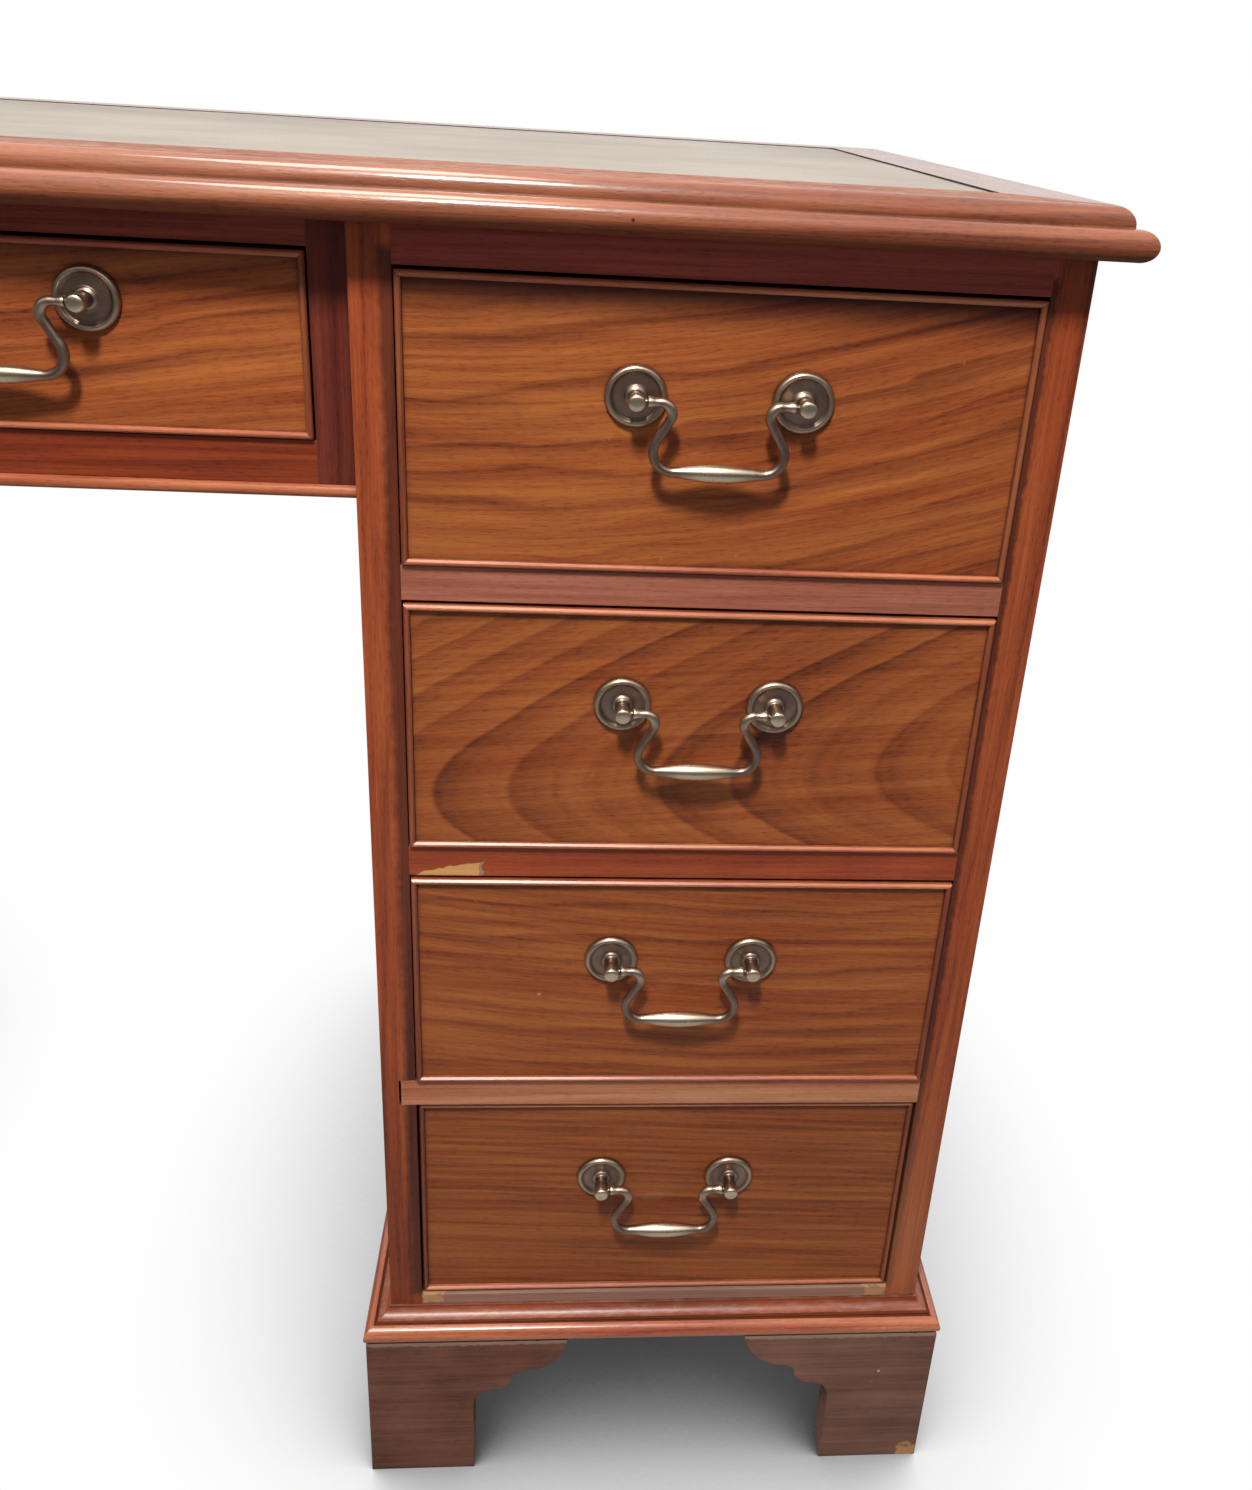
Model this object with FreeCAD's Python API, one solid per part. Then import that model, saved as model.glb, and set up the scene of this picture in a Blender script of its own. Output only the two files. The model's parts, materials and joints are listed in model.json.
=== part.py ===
import FreeCAD, Part
import math
import os

# A mahogany kneehole desk: a moulded top with a leather panel, two pedestals of four
# drawers on bracket feet, and a long drawer over the kneehole. Sizes are millimetres.
# X runs across the desk, the drawers open towards -Y and +Z is up. The origin is on
# the floor, under the middle of the top.

V = FreeCAD.Vector
UP = V(0, 0, 1)
ACROSS = V(1, 0, 0)
BACKWARD = V(0, 1, 0)
overrun = 5.0                   # how far a cutting tool passes the wood

# Top: mitred border with a moulded edge round a core panel and its leather
desk_width = 1220.0
desk_depth = 527.0
top_thickness = 22.0
border_width = 54.0             # nosing to leather
nose_height = 13.4              # half-round lower member
nose_ledge = 1.8                # flat between the half-round and the fillet
nose_fillet = 1.0               # upright step below the ovolo
tongue_height = 6.0             # of the core panel, in the border's groove
tongue_depth = 8.0
leather_thickness = 1.2
leather_sink = 0.3              # leather below the border's face
leather_gap = 0.5               # open joint round the leather
front_overhang = 23.5           # nosing in front of the pedestals
side_overhang = 16.0
back_overhang = 15.5

# Pedestals
pedestal_width = 320.0
side_thickness = 18.5
top_rail_height = 18.0
rail_thickness = 17.0
rail_depth = 70.0
bottom_rail_height = 25.0
bottom_rail_depth = 20.0
upper_opening_height = 134.0    # the three upper drawers
lower_opening_height = 147.0    # the bottom drawer
upper_drawer_count = 3
tenon_length = 8.0
tenon_setback = 3.0             # lipping in front of a hidden tenon
tenon_height_share = 0.7
socket_gap = 1.2                # past the tenon's end
back_panel_thickness = 10.0
back_rebate = 9.0
bottom_board_thickness = 18.0
bottom_groove = 6.0
runner_width = 26.0
bare_rail_index = 2             # the rail whose left joint has lost its lipping

# Plinth moulding and bracket feet
foot_height = 111.0
plinth_reach = 14.6
torus_height = 11.0             # half-round lower member
quirk_inset = 0.7               # groove between the two members
quirk_height = 0.9
cavetto_height = 4.6            # hollow upper member
cavetto_fillet = 1.2
cavetto_hollow_share = 0.68     # how deep the hollow is cut
foot_proud = 13.4               # bracket face in front of the carcass
bracket_thickness = 18.0
leg_width = 63.0
wing_width = 119.5
rear_leg_width = 46.0
rear_wing_width = 84.0
glue_block_width = 32.0
glue_block_clear = 8.0          # above the floor
# Scroll of a bracket from its leg to the end of its wing, as shares of the wing's reach
# past the leg and of the foot's height
leg_top_shares = (0.0, 0.514)
hollow_shares = ((0.068, 0.596), (0.231, 0.631))
swell_shares = ((0.357, 0.657), (0.409, 0.721))
cusp_shares = ((0.435, 0.753), (0.498, 0.766))
neck_shares = (0.73, 0.797)
tip_shares = ((0.916, 0.887), (1.0, 1.0))

# Frame over the kneehole
kneehole_recess = 6.0           # behind the face of the pedestals
kneehole_stile_width = 17.4
kneehole_stile_depth = 20.0
kneehole_top_rail_height = 13.2
kneehole_opening_height = 83.3
kneehole_rail_depth = 60.0
apron_height = 20.0
apron_bead_height = 6.0
apron_bead_depth = 14.0
apron_bead_proud = 2.5
kneehole_back_thickness = 16.0
kneehole_runner_width = 20.0
kneehole_runner_height = 17.0

# Drawers
front_thickness = 20.0
drawer_side_gap = 0.8
drawer_bottom_gap = 0.8
drawer_top_gap = 1.7
bead_width = 3.0                # cock bead round a drawer front
bead_proud = 2.5
bead_seat = 7.5                 # depth of the rebate that holds the bead
bead_glue = 0.1                 # glue line round a bead
bead_nose_shares = ((0.35, 0.0), (0.0, 0.3), (0.0, 0.7), (0.35, 1.0))
lining_thickness = 9.0          # sides and back of the box
lining_drop = 3.0               # side below the top of the front
back_drop = 12.0                # back below the top of the sides
back_space = 12.0               # behind a closed drawer
bottom_thickness = 6.0
bottom_lift = 8.0               # bottom board above the lower edge of the sides
bottom_tongue = 4.0             # of the bottom board, in the sides and the front
dovetail_lap = 8.0              # wood left in front of the lapped dovetails
dovetail_pitch = 60.0
tail_height_share = 0.72        # widest part of a tail, of the pitch
tail_slope_share = 0.16
stop_width = 24.0
stop_depth = 12.0
stop_height = 5.0
stop_place_share = 0.2          # in from each end of the opening
bottom_drawer_inset = 4.0       # the lowest drawers close deeper

# Handles: a swan-neck bail between two posts on dished rosettes, drawn with flat sides
handle_centres = 74.5
handle_rise = 16.0              # posts above the middle of the drawer front
kneehole_handle_share = 0.25    # in from each end of the long drawer
post_sides = 10
rosette_radius = 14.0
rosette_rim_width = 3.4
rosette_rim_height = 3.0
rosette_floor = 1.6             # metal at the bottom of the dish
rosette_boss_radius = 5.0
rosette_boss_height = 2.2
post_neck_radius = 3.2
post_head_radius = 4.2
post_head_length = 6.4
post_crown_radius = 2.4
post_crown = 1.6
pivot_standoff = 11.0           # bail axis in front of the drawer face
wire_sides = 6
pin_radius = 1.6
pin_clearance = 0.05
pin_past_axis = 1.0
pin_end_gap = 0.6
collar_radius = 2.6
collar_gap = 0.5
wire_radius = 1.9
bail_drop = 31.0
neck_reach = 21.5               # inmost point of the swan neck, from the middle
neck_radius = 5.0
bend_turn = 120.0               # degrees, at the neck and back at the shoulder
bend_step_count = 3
shoulder_radius = 9.0
grip_length = 36.0
grip_radius = 3.8
grip_swell_shares = ((1.0, 0.0), (0.55, 0.72), (0.0, 1.0))   # place, swelling

# Levels and faces that several pieces share
opening_heights = [upper_opening_height] * upper_drawer_count + [lower_opening_height]
carcass_bottom = foot_height
lowest_floor = carcass_bottom + bottom_rail_height
carcass_top = (lowest_floor + sum(opening_heights) + top_rail_height
               + rail_thickness * upper_drawer_count)
desk_height = carcass_top + top_thickness
front = -desk_depth / 2 + front_overhang
back = desk_depth / 2 - back_overhang
back_panel_front = back - back_panel_thickness
kneehole_half = desk_width / 2 - side_overhang - pedestal_width
kneehole_front = front + kneehole_recess
kneehole_opening_half = kneehole_half - kneehole_stile_width
kneehole_opening_top = carcass_top - kneehole_top_rail_height
kneehole_opening_bottom = kneehole_opening_top - kneehole_opening_height
apron_bottom = kneehole_opening_bottom - apron_height
plinth_height = torus_height + quirk_height + cavetto_height + cavetto_fillet
panel_thickness = top_thickness - leather_thickness - leather_sink
handle_half = handle_centres / 2


def block(x, y, z):
    """Board between two corners, given as its ranges along X, Y and Z."""
    return Part.makeBox(x[1] - x[0], y[1] - y[0], z[1] - z[0], V(x[0], y[0], z[0]))


def ordered(a, b):
    """Range from the lower to the higher of two places."""
    return (min(a, b), max(a, b))


def fused(solids):
    """One solid from touching solids, with the seams between them removed."""
    return solids[0].multiFuse(solids[1:]).removeSplitter().Solids[0]


def cut(solid, tools):
    """A solid with every tool cut from it."""
    return solid.cut(list(tools)).Solids[0] if tools else solid


def prism(corners, along):
    """Straight prism on a flat polygon."""
    return Part.Face(Part.makePolygon(corners + corners[:1])).extrude(along)


def outline_face(path, place):
    """Flat face inside a closed path, where a pair of points is an arc: through, end."""
    edges = []
    here = path[0]
    for step in path[1:]:
        through, there = step if isinstance(step[0], tuple) else (None, step)
        if through:
            edge = Part.Arc(place(here), place(through), place(there))
        else:
            edge = Part.LineSegment(place(here), place(there))
        edges.append(edge.toShape())
        here = there
    return Part.Face(Part.Wire(edges))


def moulding(path, origin, out, rise, along):
    """Straight length of a moulded section, whose path is given along out and rise."""
    def place(point):
        return origin + out * point[0] + rise * point[1]
    return outline_face(path, place).extrude(along)


def ring(radius, sides, centre, u, v):
    """Corners of a regular polygon about a centre, in the plane of two directions."""
    turns = [2 * math.pi * index / sides for index in range(sides)]
    return [centre + u * (radius * math.cos(turn)) + v * (radius * math.sin(turn))
            for turn in turns]


def skinned(rings):
    """Solid with flat sides over rings of corners, closed at both ends."""
    outlines = [rings[0], rings[-1]]
    for near, far in zip(rings, rings[1:]):
        for index in range(len(near)):
            outlines.append([near[index - 1], near[index], far[index], far[index - 1]])
    faces = [Part.Face(Part.makePolygon(corners + corners[:1])) for corners in outlines]
    solid = Part.makeSolid(Part.makeShell(faces))
    if solid.Volume < 0:
        solid.reverse()
    return solid.removeSplitter()


def arc_step(centre, radius, start, end):
    """Path step along a round arc between two angles in degrees."""
    def at(angle):
        turn = math.radians(angle)
        return (centre[0] + radius * math.cos(turn), centre[1] + radius * math.sin(turn))
    return (at((start + end) / 2), at(end))


# The top

def border_path():
    """Section of the border, out from the leather and up from the underside."""
    nose_radius = nose_height / 2
    nose_centre = (border_width - nose_radius, nose_radius)
    fillet = border_width - nose_radius - nose_ledge
    ovolo_foot = nose_height + nose_fillet
    ovolo_radius = top_thickness - ovolo_foot
    arris = fillet - ovolo_radius
    groove_low = (panel_thickness - tongue_height) / 2
    groove_high = groove_low + tongue_height
    return [(0, 0), (nose_centre[0], 0), arc_step(nose_centre, nose_radius, -90, 90),
            (fillet, nose_height), (fillet, ovolo_foot),
            arc_step((arris, ovolo_foot), ovolo_radius, 0, 90), (0, top_thickness),
            (0, groove_high), (tongue_depth, groove_high), (tongue_depth, groove_low),
            (0, groove_low), (0, 0)]


def top_border():
    """Four moulded border lengths, mitred at the corners of the top."""
    x, y = desk_width / 2, desk_depth / 2
    inner_x, inner_y = x - border_width, y - border_width
    far_x, far_y = x + overrun, y + overrun
    rise = UP * top_thickness
    lengths = []
    for sign in (-1, 1):
        start = V(-x, sign * inner_y, carcass_top)
        run = moulding(border_path(), start, BACKWARD * sign, UP, ACROSS * desk_width)
        corners = [(-inner_x, inner_y), (-far_x, far_y), (far_x, far_y), (inner_x, inner_y)]
        mitre = prism([V(a, sign * b, carcass_top) for a, b in corners], rise)
        lengths.append(run.common(mitre).Solids[0])
        start = V(sign * inner_x, -y, carcass_top)
        run = moulding(border_path(), start, ACROSS * sign, UP, BACKWARD * desk_depth)
        corners = [(inner_x, -inner_y), (far_x, -far_y), (far_x, far_y), (inner_x, inner_y)]
        mitre = prism([V(sign * a, b, carcass_top) for a, b in corners], rise)
        lengths.append(run.common(mitre).Solids[0])
    return lengths


def top_panel():
    """Core panel under the leather, with a tongue all round."""
    x, y = desk_width / 2 - border_width, desk_depth / 2 - border_width
    low = carcass_top + (panel_thickness - tongue_height) / 2
    board = block((-x, x), (-y, y), (carcass_top, carcass_top + panel_thickness))
    tongue = block((-x - tongue_depth, x + tongue_depth), (-y - tongue_depth, y + tongue_depth),
                   (low, low + tongue_height))
    return fused([board, tongue])


def leather_inset():
    """Leather glued to the core panel, just below the face of the border."""
    x = desk_width / 2 - border_width - leather_gap
    y = desk_depth / 2 - border_width - leather_gap
    low = carcass_top + panel_thickness
    return block((-x, x), (-y, y), (low, low + leather_thickness))


# Pedestals

def opening_levels():
    """Floor and ceiling of each drawer opening in a pedestal, from the top one down."""
    levels = []
    ceiling = carcass_top - top_rail_height
    for height in opening_heights:
        levels.append((ceiling - height, ceiling))
        ceiling -= height + rail_thickness
    return levels


def rail_sections():
    """Y and Z ranges of the rails of a pedestal: the dividers first, then the others."""
    near = (front, front + rail_depth)
    sections = [(near, (floor - rail_thickness, floor)) for floor, _ in opening_levels()[:-1]]
    high = (carcass_top - top_rail_height, carcass_top)
    sections.append((near, high))
    sections.append(((back_panel_front - rail_depth, back_panel_front), high))
    sections.append(((front, front + bottom_rail_depth), (carcass_bottom, lowest_floor)))
    return sections


def tenon(face, sign, y, z, bare, length):
    """Tenon that leaves a rail at a face towards sign; a bare one fills the rail's face."""
    if not bare:
        margin = (z[1] - z[0]) * (1 - tenon_height_share) / 2
        y = (y[0] + tenon_setback, y[1])
        z = (z[0] + margin, z[1] - margin)
    return block(ordered(face, face + sign * length), y, z)


def pedestal_rails(x, bare_end):
    """Rails between the sides of a pedestal, tenoned at both ends."""
    inner = (x[0] + side_thickness, x[1] - side_thickness)
    rails = []
    for index, (y, z) in enumerate(rail_sections()):
        bare = bare_end and index == bare_rail_index
        ends = [tenon(inner[0], -1, y, z, bare, tenon_length),
                tenon(inner[1], 1, y, z, False, tenon_length)]
        rails.append(fused([block(inner, y, z)] + ends))
    return Part.makeCompound(rails)


def pedestal_side(x, inward, bare_end):
    """Side of a pedestal, with sockets for the rails, a rebate and a groove."""
    inner = x[1] if inward > 0 else x[0]
    tools = []
    for index, (y, z) in enumerate(rail_sections()):
        bare = bare_end and index == bare_rail_index
        tools.append(tenon(inner, -inward, y, z, bare, tenon_length + socket_gap))
    tools.append(block(ordered(inner, inner - inward * back_rebate), (back_panel_front, back),
                       (carcass_bottom, carcass_top)))
    tools.append(block(ordered(inner, inner - inward * bottom_groove),
                       (front + bottom_rail_depth, back_panel_front),
                       (lowest_floor - bottom_board_thickness, lowest_floor)))
    return cut(block(x, (front, back), (carcass_bottom, carcass_top)), tools)


def pedestal_back(x):
    """Back panel, let into the rebates of the sides."""
    reach = side_thickness - back_rebate
    return block((x[0] + reach, x[1] - reach), (back_panel_front, back),
                 (carcass_bottom, carcass_top))


def pedestal_bottom(x):
    """Bottom board, housed in the sides behind the bottom rail."""
    reach = side_thickness - bottom_groove
    return block((x[0] + reach, x[1] - reach), (front + bottom_rail_depth, back_panel_front),
                 (lowest_floor - bottom_board_thickness, lowest_floor))


def pedestal_runners(x):
    """Drawer runners behind the dividing rails, and kickers under the top."""
    inner = (x[0] + side_thickness, x[1] - side_thickness)
    lengths = [((front + rail_depth, back_panel_front), (floor - rail_thickness, floor))
               for floor, _ in opening_levels()[:-1]]
    lengths.append(((front + rail_depth, back_panel_front - rail_depth),
                    (carcass_top - top_rail_height, carcass_top)))
    return [block(side, y, z) for y, z in lengths
            for side in ((inner[0], inner[0] + runner_width), (inner[1] - runner_width, inner[1]))]


# Plinth and feet

def plinth_path():
    """Section of the plinth moulding, out from the carcass and up from the feet."""
    torus_radius = torus_height / 2
    torus_centre = (plinth_reach - torus_radius, torus_radius)
    quirk = torus_centre[0] - quirk_inset
    hollow_foot = torus_height + quirk_height
    hollow_head = hollow_foot + cavetto_height
    hollow = (quirk * (1 - cavetto_hollow_share) + cavetto_fillet * cavetto_hollow_share,
              hollow_foot * cavetto_hollow_share + hollow_head * (1 - cavetto_hollow_share))
    return [(0, 0), (torus_centre[0], 0), arc_step(torus_centre, torus_radius, -90, 90),
            (quirk, torus_height), (quirk, hollow_foot),
            (hollow, (cavetto_fillet, hollow_head)), (cavetto_fillet, plinth_height),
            (0, plinth_height), (0, 0)]


def plinth_moulding(x):
    """Moulding along the front of a pedestal, mitred to its two side returns."""
    far = plinth_reach + overrun
    rise = UP * plinth_height
    start = V(x[0] - far, front, carcass_bottom)
    run = moulding(plinth_path(), start, -BACKWARD, UP, ACROSS * (x[1] - x[0] + 2 * far))
    corners = [(x[0], front), (x[0] - far, front - far), (x[1] + far, front - far), (x[1], front)]
    lengths = [run.common(prism([V(a, b, carcass_bottom) for a, b in corners], rise)).Solids[0]]
    for face, sign in ((x[0], -1), (x[1], 1)):
        start = V(face, front - far, carcass_bottom)
        run = moulding(plinth_path(), start, ACROSS * sign, UP, BACKWARD * (back - front + far))
        corners = [(face, front), (face + sign * far, front - far), (face + sign * far, back),
                   (face, back)]
        mitre = prism([V(a, b, carcass_bottom) for a, b in corners], rise)
        lengths.append(run.common(mitre).Solids[0])
    return Part.makeCompound(lengths)


def bracket_path():
    """Outline of a shaped bracket, in from its corner and up from the floor."""
    def at(share):
        return (leg_width + (wing_width - leg_width) * share[0], foot_height * share[1])

    def curve(shares):
        return (at(shares[0]), at(shares[1]))
    return [(0, 0), (leg_width, 0), at(leg_top_shares), curve(hollow_shares),
            curve(swell_shares), curve(cusp_shares), at(neck_shares), curve(tip_shares),
            (0, foot_height), (0, 0)]


def front_foot(face, sign):
    """Two shaped brackets, mitred at a front corner; sign points into the pedestal."""
    x, y = face - sign * foot_proud, front - foot_proud
    in_x, in_y = x + sign * bracket_thickness, y + bracket_thickness
    far_x, far_y = x - sign * overrun, y - overrun
    end_x, end_y = x + sign * wing_width, y + wing_width
    rise = UP * foot_height
    facing = moulding(bracket_path(), V(x, y, 0), ACROSS * sign, UP, BACKWARD * bracket_thickness)
    corners = [(far_x, far_y), (end_x, far_y), (end_x, in_y), (in_x, in_y)]
    facing = facing.common(prism([V(a, b, 0) for a, b in corners], rise)).Solids[0]
    returning = moulding(bracket_path(), V(x, y, 0), BACKWARD, UP,
                         ACROSS * (sign * bracket_thickness))
    corners = [(far_x, far_y), (far_x, end_y), (in_x, end_y), (in_x, in_y)]
    returning = returning.common(prism([V(a, b, 0) for a, b in corners], rise)).Solids[0]
    return [facing, returning]


def rear_foot(face, sign):
    """A shaped side bracket at a rear corner, and a plain one behind the pedestal."""
    x = face - sign * foot_proud
    in_x = x + sign * bracket_thickness
    side = moulding(bracket_path(), V(x, back, 0), -BACKWARD, UP,
                    ACROSS * (sign * bracket_thickness))
    plain_path = [(0, 0), (rear_leg_width, 0), (rear_wing_width, foot_height), (0, foot_height),
                  (0, 0)]
    plain = moulding(plain_path, V(in_x, back, 0), ACROSS * sign, UP,
                     -BACKWARD * bracket_thickness)
    return [side, plain]


def bracket_feet(x):
    """The four feet of a pedestal."""
    brackets = []
    for face, sign in ((x[0], 1), (x[1], -1)):
        brackets += front_foot(face, sign) + rear_foot(face, sign)
    return Part.makeCompound(brackets)


def glue_blocks(x):
    """Blocks in the corners of the feet, under the carcass."""
    blocks = []
    inset = bracket_thickness - foot_proud
    y_front = front + inset
    y_back = back - bracket_thickness
    for face, sign in ((x[0], 1), (x[1], -1)):
        side = ordered(face + sign * inset, face + sign * (inset + glue_block_width))
        for y in ((y_front, y_front + glue_block_width), (y_back - glue_block_width, y_back)):
            blocks.append(block(side, y, (glue_block_clear, foot_height)))
    return blocks


# Frame over the kneehole

def kneehole_stiles():
    """Uprights beside the long drawer, with sockets for the rails."""
    y = (kneehole_front, kneehole_front + kneehole_stile_depth)
    stiles = []
    for sign in (-1, 1):
        x = ordered(sign * kneehole_opening_half, sign * kneehole_half)
        tools = [tenon(sign * kneehole_opening_half, sign, y, z, False, tenon_length + socket_gap)
                 for z in kneehole_rail_levels()]
        stiles.append(cut(block(x, y, (apron_bottom, carcass_top)), tools))
    return Part.makeCompound(stiles)


def kneehole_rail_levels():
    """Z ranges of the rails above and below the long drawer."""
    return [(kneehole_opening_top, carcass_top), (apron_bottom, kneehole_opening_bottom)]


def kneehole_rails():
    """Rail under the top and apron rail under the long drawer, tenoned into the stiles."""
    y = (kneehole_front, kneehole_front + kneehole_rail_depth)
    tenon_y = (kneehole_front, kneehole_front + kneehole_stile_depth)
    inner = (-kneehole_opening_half, kneehole_opening_half)
    rails = []
    for z in kneehole_rail_levels():
        ends = [tenon(inner[0], -1, tenon_y, z, False, tenon_length),
                tenon(inner[1], 1, tenon_y, z, False, tenon_length)]
        rails.append(fused([block(inner, y, z)] + ends))
    return Part.makeCompound(rails)


def apron_bead():
    """Round bead along the lower edge of the apron, from pedestal to pedestal."""
    radius = apron_bead_height / 2
    reach = apron_bead_depth + apron_bead_proud
    path = [(0, 0), (reach - radius, 0), arc_step((reach - radius, radius), radius, -90, 90),
            (0, apron_bead_height), (0, 0)]
    start = V(-kneehole_half, kneehole_front + apron_bead_depth, apron_bottom - apron_bead_height)
    return moulding(path, start, -BACKWARD, UP, ACROSS * (2 * kneehole_half))


def kneehole_carcass():
    """Cheeks against the pedestals, and the board that closes the back between them."""
    z = (apron_bottom, carcass_top)
    cheek_y = (kneehole_front + kneehole_stile_depth, back)
    boards = [block(ordered(sign * kneehole_opening_half, sign * kneehole_half), cheek_y, z)
              for sign in (-1, 1)]
    boards.append(block((-kneehole_opening_half, kneehole_opening_half),
                        (back - kneehole_back_thickness, back), z))
    return Part.makeCompound(boards)


def kneehole_runners():
    """Runners and kickers of the long drawer, on the cheeks."""
    y = (kneehole_front + kneehole_rail_depth, back - kneehole_back_thickness)
    levels = [(kneehole_opening_bottom - kneehole_runner_height, kneehole_opening_bottom),
              (kneehole_opening_top, carcass_top)]
    inner = kneehole_opening_half - kneehole_runner_width
    return [block(ordered(sign * inner, sign * kneehole_opening_half), y, z)
            for sign in (-1, 1) for z in levels]


# Drawers

def drawer_extent(x, z, face):
    """Ranges of a drawer's outside, from its opening."""
    return ((x[0] + drawer_side_gap, x[1] - drawer_side_gap),
            (face, back_panel_front - back_space), (z[0], z[1] - drawer_top_gap))


def cock_bead(x, z, face):
    """Four mitred strips with a round nose, let into the edges of a drawer front."""
    reach = bead_seat - bead_glue + bead_proud
    strip = bead_width - bead_glue
    path = [(0, 0)] + [(reach - strip * inset, strip * width)
                       for inset, width in bead_nose_shares] + [(0, strip), (0, 0)]
    middle = ((x[1] - x[0]) / 2, (z[1] - z[0]) / 2)
    centre = (x[0] + middle[0], z[0] + middle[1])
    seat = face + bead_seat - bead_glue
    through = -BACKWARD * (reach + overrun)
    strips = []
    for sign in (-1, 1):
        edge = centre[1] + sign * middle[1]
        inner = edge - sign * middle[1]
        run = moulding(path, V(x[0], seat, edge), -BACKWARD, UP * -sign, ACROSS * (x[1] - x[0]))
        side = middle[0] - middle[1]
        corners = [(x[0], edge), (x[1], edge), (centre[0] + side, inner), (centre[0] - side, inner)]
        strips.append(run.common(prism([V(a, seat, b) for a, b in corners], through)).Solids[0])
        edge = centre[0] + sign * middle[0]
        half = middle[1] - bead_glue
        run = moulding(path, V(edge, seat, z[0]), -BACKWARD, ACROSS * -sign, UP * (z[1] - z[0]))
        corners = [(edge, centre[1] - half), (edge, centre[1] + half),
                   (edge - sign * half, centre[1])]
        strips.append(run.common(prism([V(a, seat, b) for a, b in corners], through)).Solids[0])
    return strips


def tails(x, root, tip, z):
    """Dovetails of a drawer side, widening from their root to their tip."""
    count = max(1, round((z[1] - z[0]) / dovetail_pitch))
    pitch = (z[1] - z[0]) / count
    wide = pitch * tail_height_share / 2
    narrow = wide - abs(tip - root) * tail_slope_share
    shapes = []
    for index in range(count):
        middle = z[0] + pitch * (index + 1 / 2)
        corners = [(root, middle - narrow), (tip, middle - wide), (tip, middle + wide),
                   (root, middle + narrow)]
        shapes.append(prism([V(x[0], y, height) for y, height in corners],
                            ACROSS * (x[1] - x[0])))
    return shapes


def drawer_solids(x, z, face):
    """Front with its beads, and the dovetailed box behind it, for one opening."""
    (left, right), (_, rear), (floor, ceiling) = drawer_extent(x, z, face)
    low = floor + drawer_bottom_gap
    inside = face + front_thickness
    back_face = rear - lining_thickness
    lining_top = ceiling - lining_drop
    bottom_low = floor + bottom_lift
    bottom_high = bottom_low + bottom_thickness
    housed = lining_thickness - bottom_tongue
    bottom = block((left + housed, right - housed), (inside - bottom_tongue, rear),
                   (bottom_low, bottom_high))
    sides = []
    joints = []
    for side in ((left, left + lining_thickness), (right - lining_thickness, right)):
        ends = tails(side, inside, face + dovetail_lap, (floor, lining_top))
        ends += tails(side, back_face, rear, (floor, lining_top))
        body = block(side, (inside, back_face), (floor, lining_top))
        sides.append(cut(fused([body] + ends), [bottom]))
        joints += ends
    back_board = block((left, right), (back_face, rear), (bottom_high, lining_top - back_drop))
    field = block((left + bead_width, right - bead_width), (face, inside),
                  (low + bead_width, ceiling - bead_width))
    slab = block((left, right), (face + bead_seat, inside), (low, ceiling))
    front_board = cut(fused([slab, field]), joints + [bottom])
    beads = cock_bead((left, right), (low, ceiling), face)
    box = sides + [cut(back_board, joints), bottom]
    return Part.makeCompound([front_board] + beads), Part.makeCompound(box)


def drawer_stops(x, floor, inside):
    """Two stop blocks on the rail, against the inside of a closed drawer front."""
    stops = []
    inset = (x[1] - x[0]) * stop_place_share
    for middle in (x[0] + inset, x[1] - inset):
        stops.append(block((middle - stop_width / 2, middle + stop_width / 2),
                           (inside, inside + stop_depth), (floor, floor + stop_height)))
    return stops


# Handles

def rosette_post(x, y, z, inward):
    """Dished rosette and its post, with a bore in the post's head for the bail's pin."""
    rim_inner = rosette_radius - rosette_rim_width
    head_low = pivot_standoff - post_head_length / 2
    head_high = pivot_standoff + post_head_length / 2
    path = [(rosette_radius, 0), ((rosette_radius + rim_inner) / 2, rosette_rim_height),
            (rim_inner, rosette_floor), (rosette_boss_radius, rosette_boss_height),
            (post_neck_radius, (rosette_boss_height + head_low) / 2), (post_head_radius, head_low),
            (post_head_radius, head_high), (post_crown_radius, head_high + post_crown)]
    bore_radius = (pin_radius + pin_clearance) / math.cos(math.pi / wire_sides)
    bottom = V(x - inward * (pin_past_axis + pin_end_gap), y - pivot_standoff, z)
    depth = pin_past_axis + pin_end_gap + post_head_radius + overrun
    bore = skinned([ring(bore_radius, wire_sides, bottom + ACROSS * (inward * reach), BACKWARD, UP)
                    for reach in (0, depth)])
    body = skinned([ring(radius, post_sides, V(x, y - height, z), ACROSS, UP)
                    for radius, height in path])
    return cut(body, [bore])


def handle_posts(x, z, face):
    """The two posts of one handle."""
    return [rosette_post(x + sign * handle_half, face, z, -sign) for sign in (-1, 1)]


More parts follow.
